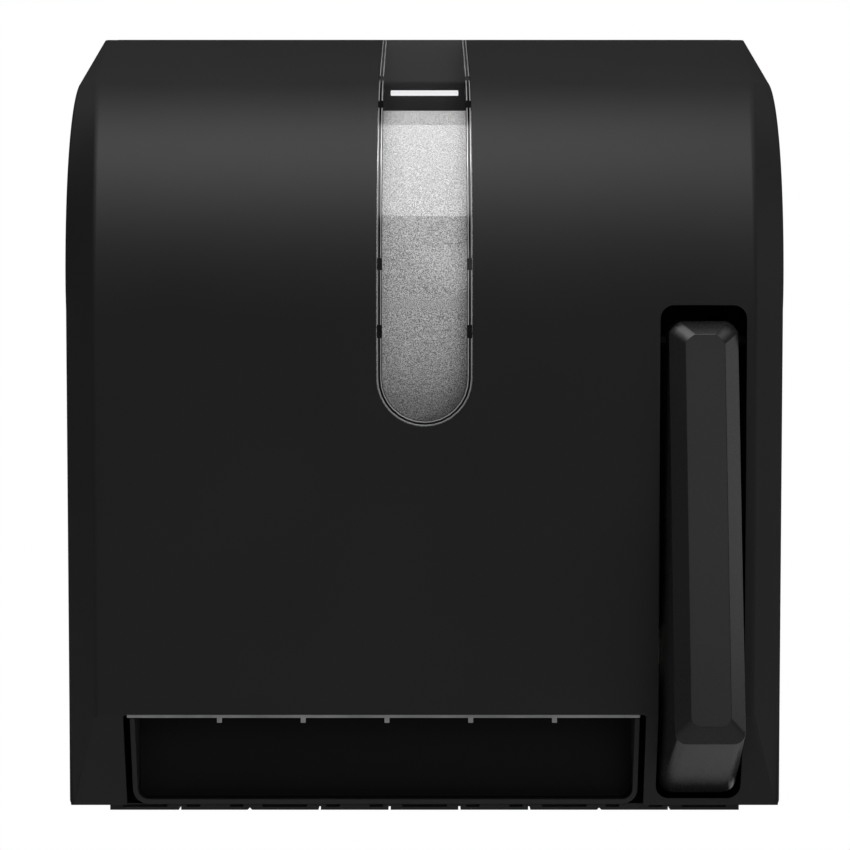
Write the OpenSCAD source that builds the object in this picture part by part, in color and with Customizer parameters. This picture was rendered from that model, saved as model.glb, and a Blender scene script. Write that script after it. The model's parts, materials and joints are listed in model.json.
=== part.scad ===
// Wall-mounted roll towel dispenser worked by a push lever.
// Frame: +X to the viewer's right, +Y into the wall, +Z up.
// The origin is the middle of the wall-screw pattern, on the wall face.

/* [Case] */
// Width of the cover at the wall
body_w = 320.6; // [316:0.2:340]
// Depth of the cover from the wall to its front face
body_d = 213; // [210:1:225]
// Height of the cover's rear top edge above the origin
top_z = 185; // [183:1:195]
// Height of the cover from its bottom edge to its rear top edge
cover_h = 365; // [362:1:372]
// Radius of the rounded upper front
nose_r = 110; // [108:1:118]
// Slope of the roof, rising to the wall
roof_slope = 14.8; // [12:0.2:17]
// Backward lean of the front face below the rounded part
front_lean = 4.4; // [3.5:0.1:5]
// Height of the receding chin at the bottom of the front
chin_h = 41.5; // [38:0.5:44]
// Backward lean of the chin
chin_lean = 27; // [24:0.5:30]
// Width of the slanted band at each side of the front
band_w = 13.8; // [8:0.2:16]
// Depth of the slanted band at the front face
band_d = 18.5; // [10:0.5:22]
// Depth of the slanted band along the roof
roof_band = 2.5; // [1:0.5:4]
// Turn of the rounded front over which the band narrows
band_turn = 60; // [50:1:70]
// Draft of each side wall from the wall to the front
side_draft = 1.1; // [0.4:0.1:2]
// Wall thickness of the cover
wall = 3; // [2:0.2:3.6]
// Thickness of the back plate
plate_t = 4; // [3:0.5:6]
// Gap between the cover's rear edge and the back plate
rear_gap = 0.6; // [0.4:0.1:1]

/* [Window] */
// Width of the window strip
window_w = 41.8; // [36:0.2:46]
// Height of the centre of the window's round lower end
window_end_z = 10.9; // [0:0.5:20]
// Thickness of the window strip
lens_t = 2.2; // [1.6:0.2:3]
// Width of the raised rim around the window
rim_w = 2.3; // [1.6:0.1:3]
// Height of the raised rim inside the cover
rim_h = 2; // [1:0.2:3]
// Gap around the window in the cover
lens_gap = 0.3; // [0.2:0.05:0.6]

/* [Roll] */
// Gap left around the full paper roll
roll_gap = 8; // [4:0.5:20]
// How far the roll sits in front of the middle of the rounded front
roll_forward = 3; // [2:0.5:5]
// Room between the left end of the paper roll and the case side
left_room = 40.7; // [38:0.1:46]
// Bore diameter of the cardboard core
core_bore = 39; // [36:0.5:44]
// Wall of the cardboard core
core_t = 1.5; // [1:0.1:3]
// Thickness of a roll arm
arm_t = 4; // [3:0.5:4.5]
// Height of a roll arm
arm_h = 36; // [30:1:44]
// Gap between a roll arm and the end of the roll
arm_gap = 1.5; // [1:0.1:2]
// How far a hub reaches into the core
hub_reach = 10; // [7:0.5:11]
// Radial gap between a hub and the core
hub_gap = 0.8; // [0.6:0.1:0.9]

/* [Lever] */
// Distance from the lever's middle to the right side of the case
lever_inset = 37.9; // [36:0.2:40]
// Width of the opening for the lever
slot_w = 38; // [36:0.5:40]
// Height of the opening for the lever
slot_h = 219.8; // [216:0.2:222]
// Sill left under the opening
slot_sill = 3.2; // [2.5:0.1:5]
// Corner radius of the opening
slot_r = 6; // [4:0.5:8]
// Width of the lever across its rim
lever_w = 30.4; // [28:0.2:32]
// Width of the lever's front facet
facet_w = 17.3; // [14:0.1:20]
// How far the facet stands out of the front face at its top
proud_top = 6; // [5:0.5:9]
// How far the lever's foot stands out of the front face
proud_low = 37.5; // [32:0.5:40]
// Depth of the bevel around the facet
bevel = 6; // [4:0.5:8]
// Gap between the opening's top edge and the lever
lever_top_gap = 7; // [5.5:0.5:9]
// Gap between the opening's sill and the lever
lever_low_gap = 2.2; // [1.5:0.1:6]
// Wall thickness of the lever
lever_t = 2.6; // [2:0.1:3.2]
// Depth of the pivot behind the front face
pivot_depth = 14; // [13.5:0.5:15]
// Distance of the pivot below the opening's top edge
pivot_drop = 14.5; // [13:0.5:17]
// Diameter of the lever pin
lever_pin_d = 6; // [5:0.5:7]

/* [Drive] */
// Gear module
gear_m = 1.5; // [1.4:0.02:1.56]
// Teeth of the pinion and of the feed gear
small_teeth = 14; // [13:1:15]
// Teeth of the large wheel beside the pinion
large_teeth = 28; // [26:1:30]
// Tooth count of the whole circle that the lever's sector belongs to
sector_circle = 200; // [196:1:204]
// Teeth cut on the sector
sector_teeth = 12; // [12:1:15]
// Angle of the pinion from straight below the pivot
pinion_angle = 28.5; // [27:0.5:30]
// Play between meshing teeth
backlash = 0.36; // [0.3:0.02:0.5]
// Face width of the gears
gear_w = 7; // [5:0.5:8]
// Diameter of the feed roller
feed_d = 32; // [28:0.5:34]
// Diameter of the pinch roller
pinch_d = 16; // [12:0.5:18]
// Gap left for the paper between the rollers
nip = 0.3; // [0.3:0.05:0.6]
// Diameter of the roller shafts and of the idler pin
shaft_d = 8; // [6:0.5:9]
// Radial clearance of turning shafts and pins
run_gap = 0.1; // [0.05:0.01:0.2]
// Thickness of the side frames
frame_t = 4; // [3:0.5:5]

/* [Exit] */
// Margin of the paper opening beyond each end of the roll
exit_margin = 14.3; // [10:0.1:16]
// Thickness of the chute's lip
lip_t = 2.3; // [1.8:0.1:3]
// Gap between the opening's edge and the chute's lip
lip_gap = 2.5; // [1.5:0.1:4]
// Thickness of the tear bar
bar_t = 1.2; // [0.8:0.1:2]
// How far the tear bar shows below the opening's top edge
bar_show = 0.9; // [0.6:0.1:1.4]
// Number of tabs on the tear bar
bar_tabs = 5; // [3:1:7]
// Width and height of a tear-bar tab
tab_size = 2.2; // [1.6:0.1:3]
// Number of tabs along the base tray
comb_tabs = 9; // [7:1:9]
// Distance from the row of tabs to each side of the case
comb_inset = 17.5; // [12:0.1:30]
// Drop of the base tray below the cover
comb_drop = 3; // [2.6:0.1:6]

/* [Mounting] */
// Distance between the wall screws, across
screw_dx = 152.4; // [120:0.4:160]
// Distance between the wall screws, up and down
screw_dz = 203.2; // [180:0.4:230]
// Diameter of the wall-screw holes
screw_hole = 6.4; // [4:0.2:8]
// Height of the cover's hinge axis above the cover's bottom edge
hinge_up = 8; // [7:0.5:9]
// Depth of the cover's hinge axis from the wall
hinge_in = 14; // [13:0.5:16]
// Diameter of the hinge pins and of the roll-arm pin
pin_d = 4; // [3:0.2:5]

/* [Hidden] */
$fn = 48;
over = 1;

// Case outline in the side view, as [y, z]
low_z = top_z - cover_h;
half_w = body_w / 2;
side_w = half_w - side_draft;
face_w = side_w - band_w;
nose_y = nose_r - body_d;
nose_z = top_z - (nose_r - nose_y * sin(roof_slope)) / cos(roof_slope);
rear_y = -plate_t - rear_gap;
crease_z = low_z + chin_h;
function front_y(z, off = 0) = nose_y - (nose_r - off + (z - nose_z) * sin(front_lean)) / cos(front_lean);
function roof_z(y, off = 0) = nose_z + (nose_r - off + (y - nose_y) * sin(roof_slope)) / cos(roof_slope);
crease_y = front_y(crease_z);
function chin_y(z, off = 0) = crease_y + off / cos(chin_lean) - (z - crease_z) * tan(chin_lean);
function crease_at(off) = (crease_y + off / cos(chin_lean) + crease_z * tan(chin_lean) - nose_y
    + (nose_r - off) / cos(front_lean) - nose_z * tan(front_lean)) / (tan(chin_lean) - tan(front_lean));
nose_steps = 20;
nose_turn = 90 - roof_slope;
function band_share(a) = (1 + cos(180 * min(max(a, 0), band_turn) / band_turn)) / 2;
function band_at(a) = roof_band + (band_d - roof_band) * band_share(a);
function nose_point(a, off) = [nose_y - (nose_r - off) * cos(a), nose_z + (nose_r - off) * sin(a)];
function nose_arc(off, banded) = [for (i = [0:nose_steps])
    let (a = -front_lean + i * (nose_turn + front_lean) / nose_steps)
    nose_point(a, off + (banded ? band_at(a) : 0))];

// Outline of the front face, and of the side walls behind the slanted band
function face_outline(off) = let (low = crease_at(off))
    concat(nose_arc(off, false), [[nose_y, nose_z], [front_y(low, off), low]]);
function side_outline(off, back_y, base_z) = concat(nose_arc(off, true),
    [[back_y, roof_z(back_y, off)], [back_y, base_z], [chin_y(base_z, off), base_z],
     [front_y(crease_z, off + band_d), crease_z]]);

// Places across the width
gear_bay = 9;
gear_frame_gap = 1;
gear_frame_t = 3;
arm_clear = 1.5;
left_clear = 3;
lever_x = half_w - lever_inset;
right_x = lever_x - slot_w / 2 - gear_bay;
gear_frame_x = lever_x + slot_w / 2 + gear_frame_gap;
arm_room = arm_gap + arm_t + arm_clear;
roll_right = right_x - frame_t - arm_room;
roll_left = left_room - half_w;
roll_w = roll_right - roll_left;
roll_mid = (roll_left + roll_right) / 2;
roll_y = nose_y - roll_forward;
roll_z = nose_z;
left_x = roll_left - arm_gap - arm_t - left_clear;
exit_half = roll_w / 2 + exit_margin;
exit_shift = 0.45;
exit_mid = roll_mid + exit_shift;
exit_rise = 0.8;

// Hinge of the cover
hinge_y = -hinge_in;
hinge_z = low_z + hinge_up;
hinge_room = 11;
hinge_lug_x = side_w - wall - hinge_room;
lug_t = 5;
boss_t = 4.5;

// Lever pivot and gear train in the side view
slot_low_z = low_z + slot_sill;
slot_top_z = slot_low_z + slot_h;
pivot_z = slot_top_z - pivot_drop;
pivot_y = front_y(pivot_z) + pivot_depth;
lever_top_z = slot_top_z - lever_top_gap;
lever_low_z = slot_low_z + lever_low_gap;
small_r = gear_m * small_teeth / 2;
large_r = gear_m * large_teeth / 2;
sector_r = gear_m * sector_circle / 2;
tooth_up = 0.75 * gear_m;
tooth_down = 1.1 * gear_m;
idler_y = pivot_y + (sector_r + small_r) * sin(pinion_angle);
idler_z = pivot_z - (sector_r + small_r) * cos(pinion_angle);
feed_y = idler_y - large_r - small_r;
feed_z = idler_z;
pinch_y = feed_y - feed_d / 2 - pinch_d / 2 - nip;
pinch_z = feed_z;
gear_side_gap = 1.6;
sector_shift = 1;
gear_x = right_x + gear_side_gap;
sector_x = lever_x - gear_w / 2 - sector_shift;

// Round-cornered rectangle from circles and squares, by its corners
module round_box(x0, y0, x1, y1, r) {
    translate([x0 + r, y0]) square([x1 - x0 - 2 * r, y1 - y0]);
    translate([x0, y0 + r]) square([x1 - x0, y1 - y0 - 2 * r]);
    for (x = [x0 + r, x1 - r], y = [y0 + r, y1 - r]) translate([x, y]) circle(r);
}

// Extrusion of a side-view outline [y, z] from x0 over a width
module side_plate(x0, w) {
    translate([x0, 0, 0]) rotate([90, 0, 90]) linear_extrude(w) children();
}

// Extrusion of a front-view outline [x, z] from y0 over a depth
module front_plate(y0, d) {
    translate([0, y0 + d, 0]) rotate([90, 0, 0]) linear_extrude(d) children();
}

// Cylinder along X at a place in the side view
module rod_x(x0, len, r, y, z) {
    translate([x0, y, z]) rotate([0, 90, 0]) cylinder(h = len, r = r);
}

// Cylinder along Y from y0
module rod_y(x, y0, len, r, z) {
    translate([x, y0 + len, z]) rotate([90, 0, 0]) cylinder(h = len, r = r);
}

// Box by its low and high corners
module block(lo, hi) {
    translate(lo) cube(hi - lo);
}

// Spring wire swept along a list of points
wire_sides = 6;
function unit(v) = v / norm(v);
function wire_way(p, i) = unit(p[min(i + 1, len(p) - 1)] - p[max(i - 1, 0)]);
function wire_ring(c, t, r, ref) = let (u = unit(cross(t, ref)), v = cross(t, u))
    [for (k = [0:wire_sides - 1]) c + r * (cos(360 * k / wire_sides) * u + sin(360 * k / wire_sides) * v)];
module wire(points, r, ref) {
    n = len(points);
    rings = [for (i = [0:n - 1]) each wire_ring(points[i], wire_way(points, i), r, ref)];
    walls = [for (i = [0:n - 2], k = [0:wire_sides - 1])
        let (a = i * wire_sides + k, b = i * wire_sides + (k + 1) % wire_sides)
        each [[a, b, b + wire_sides], [a, b + wire_sides, a + wire_sides]]];
    ends = [for (k = [1:wire_sides - 2])
        each [[0, k + 1, k], [(n - 1) * wire_sides, (n - 1) * wire_sides + k, (n - 1) * wire_sides + k + 1]]];
    polyhedron(rings, concat(walls, ends));
}
curl_rings = 8;
function curl(turns, r, pitch, from) = [for (i = [0:turns * curl_rings])
    let (a = from + 360 * i / curl_rings) [r * cos(a), r * sin(a), pitch * i / curl_rings]];

// Involute gear outline with a tooth centred on angle zero
pressure = 20;
flank_steps = 3;
function involute(r, base) = let (a = acos(min(1, base / r))) tan(a) - a * PI / 180;
function tooth_half(r, pitch_r, teeth) = let (base = pitch_r * cos(pressure))
    90 / teeth - backlash / 4 / pitch_r * 180 / PI
    + (involute(pitch_r, base) - involute(max(r, base), base)) * 180 / PI;
function polar(r, a) = [r * cos(a), r * sin(a)];
function tooth(teeth, at) =
    let (pitch_r = gear_m * teeth / 2, low = pitch_r - tooth_down, high = pitch_r + tooth_up)
    concat([for (k = [0:flank_steps]) let (r = low + (high - low) * k / flank_steps)
            polar(r, at - tooth_half(r, pitch_r, teeth))],
        [for (k = [0:flank_steps]) let (r = high - (high - low) * k / flank_steps)
            polar(r, at + tooth_half(r, pitch_r, teeth))]);
function gear_outline(teeth, turn) = [for (i = [0:teeth - 1]) each tooth(teeth, turn + 360 * i / teeth)];

// Angles of the gear centres from one another, from +Y towards +Z
sector_way = pinion_angle - 90;
pinion_turn = sector_way + 180 + 180 / small_teeth;
large_turn = 180;
feed_turn = 180 / small_teeth;

plate_color = [0.10, 0.10, 0.105];
cover_color = [0.07, 0.07, 0.075];
steel_color = [0.62, 0.63, 0.65];
dark_steel_color = [0.12, 0.12, 0.125];
gear_color = [0.80, 0.79, 0.74];

// Places of the pieces on the wall plate
fit_gap = 0.02;
flange_t = 3;
flange_w = 12;
screw_r = 2;
screw_head_r = 3.6;
screw_head_t = 2;
knuckle_wall = 2;
knuckle_set = 1.5;
knuckle_r = pin_d / 2 + knuckle_wall;
arm_plate_x = roll_right + arm_gap;
arm_axis_in = 10;
arm_axis_x = arm_plate_x + knuckle_r + knuckle_set;
arm_axis_y = -plate_t - arm_axis_in;
arm_lug_t = 6;
arm_lug_gap = 0.5;
arm_low = roll_z - arm_h / 2;
arm_high = roll_z + arm_h / 2;
lug_r = 6;
chute_front_set = 3.5;
chute_depth = 13;
frame_rise = 28;
frame_set = 3.2;
bar_set = 1.6;
bar_h = 14;
bar_screw_up = 7.5;
bar_screw_r = 1.25;
bar_screw_len = 7;
bar_head_r = 2.35;
bar_head_t = 0.9;
bush_wall = 3;
block_wall = 1.6;
chute_back = chin_y(low_z, wall) + chute_depth;
frame_top = feed_z + feed_d / 2 + frame_rise;
frame_front = front_y(feed_z, wall) + frame_set;
bar_seat_y = front_y(crease_z, wall) + bar_set + bar_t;
bar_screw_z = crease_z + bar_screw_up;
bush_r = shaft_d / 2 + bush_wall;
lens_set = 0.4;
roll_front_room = nose_r - lens_set - lens_t - rim_h - roll_forward;
roll_rear_room = -plate_t - roll_y;
roll_low_room = roll_z - frame_top;
roll_d = 2 * (min(roll_front_room, roll_rear_room, roll_low_room) - roll_gap);
block_half = shaft_d / 2 + block_wall;
block_gap = 0.15;
spring_room = 6;
peg_r = 2.5;
peg_in = 18;
peg_gap = 0.3;
torsion_wire = 0.5;
torsion_gap = 1.2;
torsion_r = lever_pin_d / 2 + torsion_gap;
peg_y = pivot_y + peg_in;
peg_z = pivot_z - torsion_r + torsion_wire + peg_gap + peg_r;
coil_r = 2.6;
coil_wire = 0.4;
left_flange_x = left_x - frame_t - flange_w;
right_flange_x = right_x - frame_t - flange_w;
gear_flange_w = 11;
left_arm_x = roll_left - arm_gap - arm_t;
lock_in = 42;
lock_z = 60;
lock_r = 9;
lock_y = -lock_in;
cam_len = 25;
cam_w = 8;
cam_t = 4;
cam_in = 5.5;
keeper_gap = 3;
keeper_t = 2.5;
keeper_w = 16;
keeper_drop = 14;
keeper_lip = 4;
cam_x = -side_w + wall + cam_in;
keeper_x = cam_x + cam_t + keeper_gap;
keeper_z = lock_z + cam_len - keeper_drop;
foot_screw_up = 16;
foot_screw_down = 12;
gear_screw_low = 8;
gear_screw_high = 4;
frame_screw_z = [low_z + foot_screw_up, frame_top - foot_screw_down];
gear_screw_z = [idler_z - gear_screw_low, pivot_z - gear_screw_high];
left_arm_screw_z = [roll_z - arm_h / 4, roll_z + arm_h / 4];
wall_plate_screws = concat(
    [for (x = [left_flange_x, right_flange_x], z = frame_screw_z) [x + flange_w / 2, z]],
    [for (z = gear_screw_z) [gear_frame_x + gear_frame_t + (gear_flange_w - gear_frame_t) / 2, z]],
    [for (z = left_arm_screw_z) [left_arm_x - flange_w / 2, z]]);
module plate_screw_holes() {
    depth = plate_t / 2 + flange_t + over;
    for (s = wall_plate_screws)
        rod_y(s[0], -plate_t - flange_t - over, depth, screw_r + fit_gap, s[1]);
}

// Wall plate with its hinge lugs, arm lugs, viewing slot and screw holes
view_slot_w = 34;
view_slot_h = 3;
view_slot_drop = 27.6;
view_slot_z = top_z - view_slot_drop;
plate_side = 1;
plate_high = 1;
plate_r = 5;
module hinge_lug(x) {
    difference() {
        union() {
            block([x, hinge_y, hinge_z - lug_r], [x + lug_t, -plate_t + over, hinge_z + lug_r]);
            rod_x(x, lug_t, lug_r, hinge_y, hinge_z);
        }
        rod_x(x - over, lug_t + 2 * over, pin_d / 2 + fit_gap, hinge_y, hinge_z);
    }
}
module arm_lug(z) {
    difference() {
        block([arm_axis_x - lug_r, arm_axis_y - lug_r, z],
            [arm_axis_x + lug_r, -plate_t + over, z + arm_lug_t]);
        translate([arm_axis_x, arm_axis_y, z - over])
            cylinder(h = arm_lug_t + 2 * over, r = pin_d / 2 + fit_gap);
    }
}
module back_plate() {
    color(plate_color) union() {
        difference() {
            front_plate(-plate_t, plate_t)
                round_box(plate_side - side_w, low_z, side_w - plate_side, top_z - plate_high,
                    plate_r);
            for (x = [-screw_dx / 2, screw_dx / 2], z = [-screw_dz / 2, screw_dz / 2])
                rod_y(x, -plate_t - over, plate_t + 2 * over, screw_hole / 2, z);
            block([-view_slot_w / 2, -plate_t - over, view_slot_z - view_slot_h / 2],
                [view_slot_w / 2, over, view_slot_z + view_slot_h / 2]);
            plate_screw_holes();
        }
        hinge_lug(-hinge_lug_x - lug_t);
        hinge_lug(hinge_lug_x);
        arm_lug(arm_low - arm_lug_gap - arm_lug_t);
        arm_lug(arm_high + arm_lug_gap);
    }
}

// Side frames that carry the rollers, and the outer plate of the gear bay
nose_low = crease_z + 2;
nose_high = crease_z + bar_h - 1;
front_low = pinch_z - 4;
front_high = pinch_z + 10;
brow_y = pinch_y + 4;
frame_points = [[-plate_t, low_z], [chute_back, low_z], [chute_back, nose_low], [bar_seat_y, nose_low],
    [bar_seat_y, nose_high], [frame_front, front_low], [frame_front, front_high], [brow_y, frame_top],
    [-plate_t, frame_top]];
pivot_cover = 8;
pivot_wall = 3;
peg_wall = 6;
post_drop = 30;
post_foot = 14;
post_top = pivot_z + pivot_cover;
post_front = pivot_y - lever_pin_d / 2 - pivot_wall;
post_back = peg_y + peg_wall;
post_points = [[frame_front, front_high - over], [post_front, pivot_z - pivot_cover], [post_front, post_top],
    [post_back, post_top], [post_back, pivot_z - post_drop], [feed_y + post_foot, frame_top - 2 * over],
    [pinch_y, front_high - over]];
module foot_flange(x0, w, z0, z1) {
    block([x0, -plate_t - flange_t, z0], [x0 + w, -plate_t, z1]);
}
module roller_bores(x0) {
    rod_x(x0 - over, frame_t + 2 * over, bush_r + fit_gap, feed_y, feed_z);
    block([x0 - over, pinch_y - block_half - spring_room, pinch_z - block_half - block_gap],
        [x0 + frame_t + over, pinch_y + block_half + block_gap, pinch_z + block_half + block_gap]);
    rod_y(x0 + frame_t / 2, bar_seat_y - over, bar_screw_len + 2 * over, bar_screw_r + fit_gap, bar_screw_z);
}
module left_frame() {
    color(plate_color) difference() {
        union() {
            side_plate(left_x - frame_t, frame_t) polygon(frame_points);
            foot_flange(left_flange_x, flange_w + over, low_z, frame_top);
        }
        roller_bores(left_x - frame_t);
        plate_screw_holes();
    }
}
module right_frame() {
    color(plate_color) difference() {
        union() {
            side_plate(right_x - frame_t, frame_t) polygon(frame_points);
            side_plate(right_x - frame_t, frame_t) polygon(post_points);
            foot_flange(right_flange_x, flange_w + over, low_z, frame_top);
        }
        roller_bores(right_x - frame_t);
        plate_screw_holes();
        rod_x(right_x - frame_t - over, frame_t + 2 * over, lever_pin_d / 2 + fit_gap, pivot_y, pivot_z);
        rod_x(right_x - frame_t - over, frame_t + 2 * over, shaft_d / 2 + fit_gap, idler_y, idler_z);
        rod_x(right_x - frame_t - over, frame_t + 2 * over, peg_r + fit_gap, peg_y, peg_z);
    }
}
gear_frame_low = idler_z - large_r - over;
gear_frame_high = pivot_z + 2 * pivot_cover;
gear_frame_front = idler_y - 16;
gear_frame_lean = 4;
gear_frame_back = pivot_y + 10;
module gear_frame() {
    color(plate_color) difference() {
        union() {
            side_plate(gear_frame_x, gear_frame_t)
                polygon([[-plate_t, gear_frame_low], [gear_frame_front, gear_frame_low],
                    [gear_frame_front - gear_frame_lean, idler_z + 4 * gear_frame_lean],
                    [post_front, pivot_z - pivot_cover], [post_front, post_top], [gear_frame_back, post_top],
                    [-plate_t, gear_frame_high]]);
            foot_flange(gear_frame_x, gear_flange_w, gear_frame_low, gear_frame_high);
        }
        rod_x(gear_frame_x - over, gear_frame_t + 2 * over, lever_pin_d / 2 + fit_gap, pivot_y, pivot_z);
        rod_x(gear_frame_x - over, gear_frame_t + 2 * over, shaft_d / 2 + fit_gap, idler_y, idler_z);
        plate_screw_holes();
    }
}

// Pan-head screws that hold the frames and the left arm to the wall plate
module frame_screws() {
    color(steel_color) for (s = wall_plate_screws) {
        rod_y(s[0], -plate_t - flange_t, flange_t + plate_t / 2 - over / 2, screw_r, s[1]);
        rod_y(s[0], -plate_t - flange_t - screw_head_t, screw_head_t, screw_head_r, s[1]);
    }
}

// Scoop that guides the paper out, with a lip around the opening
lip_left = exit_mid - exit_half + lip_gap;
lip_right = exit_mid + exit_half - lip_gap;
lip_r = 7;
chute_drop = 0.4;
chute_top = crease_z - bar_show - chute_drop;
module chute() {
    color(plate_color) intersection() {
        difference() {
            front_plate(crease_y, chute_back - block_gap - crease_y) difference() {
                round_box(lip_left, low_z, lip_right, chute_top + 2 * lip_r, lip_r);
                translate([lip_left - over, chute_top])
                    square([lip_right - lip_left + 2 * over, 3 * lip_r]);
            }
            front_plate(crease_y - over, chute_back - lip_t - block_gap - crease_y + over)
                round_box(lip_left + lip_t, low_z + lip_t, lip_right - lip_t, chute_top + 3 * lip_r,
                    lip_r - lip_t);
        }
        side_plate(lip_left - over, lip_right - lip_left + 2 * over)
            polygon([[chin_y(low_z - over, chute_front_set), low_z - over],
                [chin_y(chute_top + over, chute_front_set), chute_top + over], [0, chute_top + over],
                [0, low_z - over]]);
    }
}

// Steel tear bar across the frames, with its tabs and screws
tab_draw = 0.6;
tab_shift = 1;
tab_pitch = (lip_right - lip_left) / (bar_tabs + 1) - tab_draw;
tab_first = exit_mid + tab_shift - tab_pitch * (bar_tabs - 1) / 2;
bar_left = left_x - frame_t;
module tear_bar() {
    color(steel_color) difference() {
        front_plate(bar_seat_y - bar_t, bar_t) {
            translate([bar_left, crease_z - bar_show]) square([lip_right - bar_left, bar_h]);
            for (i = [0:bar_tabs - 1])
                translate([tab_first + i * tab_pitch - tab_size / 2, crease_z - bar_show - tab_size])
                    square([tab_size, tab_size + over]);
        }
        for (x = [bar_left + frame_t / 2, right_x - frame_t / 2])
            rod_y(x, bar_seat_y - bar_t - over, bar_t + 2 * over, bar_screw_r + fit_gap, bar_screw_z);
    }
}
module tear_bar_screws() {
    color(steel_color) for (x = [bar_left + frame_t / 2, right_x - frame_t / 2]) {
        rod_y(x, bar_seat_y - bar_t, bar_t + bar_screw_len, bar_screw_r, bar_screw_z);
        rod_y(x, bar_seat_y - bar_t - bar_head_t, bar_head_t, bar_head_r, bar_screw_z);
    }
}

// Floor of the case, with a row of tabs along its front edge
tray_t = 1.4;
tray_set = 3.6;
wing_gap = 1.4;
wing_set = 30;
tray_side = side_w - wall - wing_gap;
tray_front = chin_y(low_z, wall) + tray_set;
tab_depth = 14;
comb_gap = 1;
comb_left = comb_inset - side_w;
comb_pitch = -2 * comb_left / comb_tabs;
comb_slot_h = 1.1;
comb_slot_drop = 0.5;
comb_slot_d = 4;
comb_wide_slot = 20;
comb_side_slot = 6;
module comb_slot(x, w) {
    block([x - w / 2, tray_front - over, low_z - comb_slot_drop - comb_slot_h],
        [x + w / 2, tray_front + comb_slot_d, low_z - comb_slot_drop]);
}
module base_tray() {
    color(plate_color) difference() {
        union() {
            block([comb_left, tray_front, low_z - tray_t], [-comb_left, 0, low_z]);
            block([-tray_side, tray_front + wing_set, low_z - tray_t], [tray_side, 0, low_z]);
            block([comb_left, tray_front, low_z - comb_drop],
                [-comb_left, tray_front + tab_depth, low_z - tray_t]);
        }
        for (i = [1:comb_tabs - 1]) let (x = comb_left + i * comb_pitch)
            if (i == 2 || i == comb_tabs - 2)
                translate([x, tray_front - over, low_z - comb_drop]) rotate([-90, 0, 0])
                    cylinder(h = tab_depth + 2 * over, r = comb_gap, $fn = 4);
            else block([x - comb_gap / 2, tray_front - over, low_z - comb_drop - over],
                [x + comb_gap / 2, tray_front + tab_depth + over, low_z - tray_t]);
        for (i = [0:comb_tabs - 1])
            let (x = comb_left + (i + 0.5) * comb_pitch, side = comb_pitch / 2 - comb_side_slot)
            if (i % 2 == 0) comb_slot(x, comb_wide_slot);
            else for (s = [-side, side]) comb_slot(x + s, comb_side_slot);
    }
}

// Plate behind the feed roller that keeps the paper off the gears and the wall
guide_gap = 4;
guide_t = 2;
guide_lean = 12;
guide_y = feed_y + feed_d / 2 + guide_gap;
guide_bend = feed_z + feed_d / 4;
guide_top = frame_top - 2;
module paper_guide() {
    color(plate_color) side_plate(left_x, right_x - frame_t - left_x)
        polygon([[guide_y, low_z], [guide_y + guide_t, low_z], [guide_y + guide_t, guide_bend],
            [guide_y + guide_t + guide_lean, guide_top], [guide_y + guide_lean, guide_top],
            [guide_y, guide_bend]]);
}

// Pins of the lever and of the double gear, with their retaining clips
pin_over = 2.4;
clip_t = 1;
clip_w = 2;
pin_left = right_x - frame_t;
pin_right = gear_frame_x + gear_frame_t;
pin_len = pin_right - pin_left + 2 * pin_over;
module lever_pin() {
    color(dark_steel_color) rod_x(pin_left - pin_over, pin_len, lever_pin_d / 2, pivot_y, pivot_z);
}
module idler_pin() {
    color(steel_color) rod_x(pin_left - pin_over, pin_len, shaft_d / 2, idler_y, idler_z);
}
module clip(x, r, y, z) {
    difference() {
        rod_x(x, clip_t, r + clip_w, y, z);
        rod_x(x - over, clip_t + 2 * over, r + fit_gap, y, z);
    }
}
module pin_clips() {
    color(steel_color) for (x = [pin_left - clip_t, pin_right]) {
        clip(x, lever_pin_d / 2, pivot_y, pivot_z);
        clip(x, shaft_d / 2, idler_y, idler_z);
    }
}

// Bearings of the two rollers
frame_faces = [left_x - frame_t, right_x - frame_t];
module feed_bushes() {
    color("ivory") for (x = frame_faces) difference() {
        rod_x(x, frame_t, bush_r, feed_y, feed_z);
        rod_x(x - over, frame_t + 2 * over, shaft_d / 2 + run_gap, feed_y, feed_z);
    }
}
module pinch_blocks() {
    color("ivory") for (x = frame_faces) difference() {
        block([x, pinch_y - block_half, pinch_z - block_half],
            [x + frame_t, pinch_y + block_half, pinch_z + block_half]);
        rod_x(x - over, frame_t + 2 * over, shaft_d / 2 + run_gap, pinch_y, pinch_z);
    }
}

// Springs, each one unbroken wire
function wire_gap(p, r) = min([for (i = [0:len(p) - 1], j = [0:len(p) - 1])
    if (j > i + curl_rings / 2) norm(p[j] - p[i])]) - 2 * r;
coil_turns = 3;
coil_end_gap = 0.2;
coil_pitch = (spring_room - 2 * coil_wire - 2 * coil_end_gap) / coil_turns;
module pinch_springs() {
    path = curl(coil_turns, coil_r, coil_pitch, 0);
    echo(pinch_spring_gap = wire_gap(path, coil_wire));
    color(steel_color) for (x = frame_faces)
        translate([x + frame_t / 2, pinch_y - block_half - coil_wire - coil_end_gap, pinch_z])
            rotate([90, 0, 0]) wire(path, coil_wire, [0, 0, 1]);
}
torsion_turns = 3;
torsion_pitch = 1.5;
boss_w = 1.6;
torsion_side = 1;
torsion_bend = 8;
torsion_low_leg = 14;
torsion_high_leg = 22;
peg_end = 1.5;
torsion_x = lever_x - lever_w / 2 + lever_t + boss_w + torsion_side;
peg_reach = torsion_x + torsion_turns * torsion_pitch + peg_end;
module spring_peg() {
    color(steel_color) rod_x(right_x - frame_t, peg_reach - right_x + frame_t, peg_r, peg_y, peg_z);
}
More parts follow.
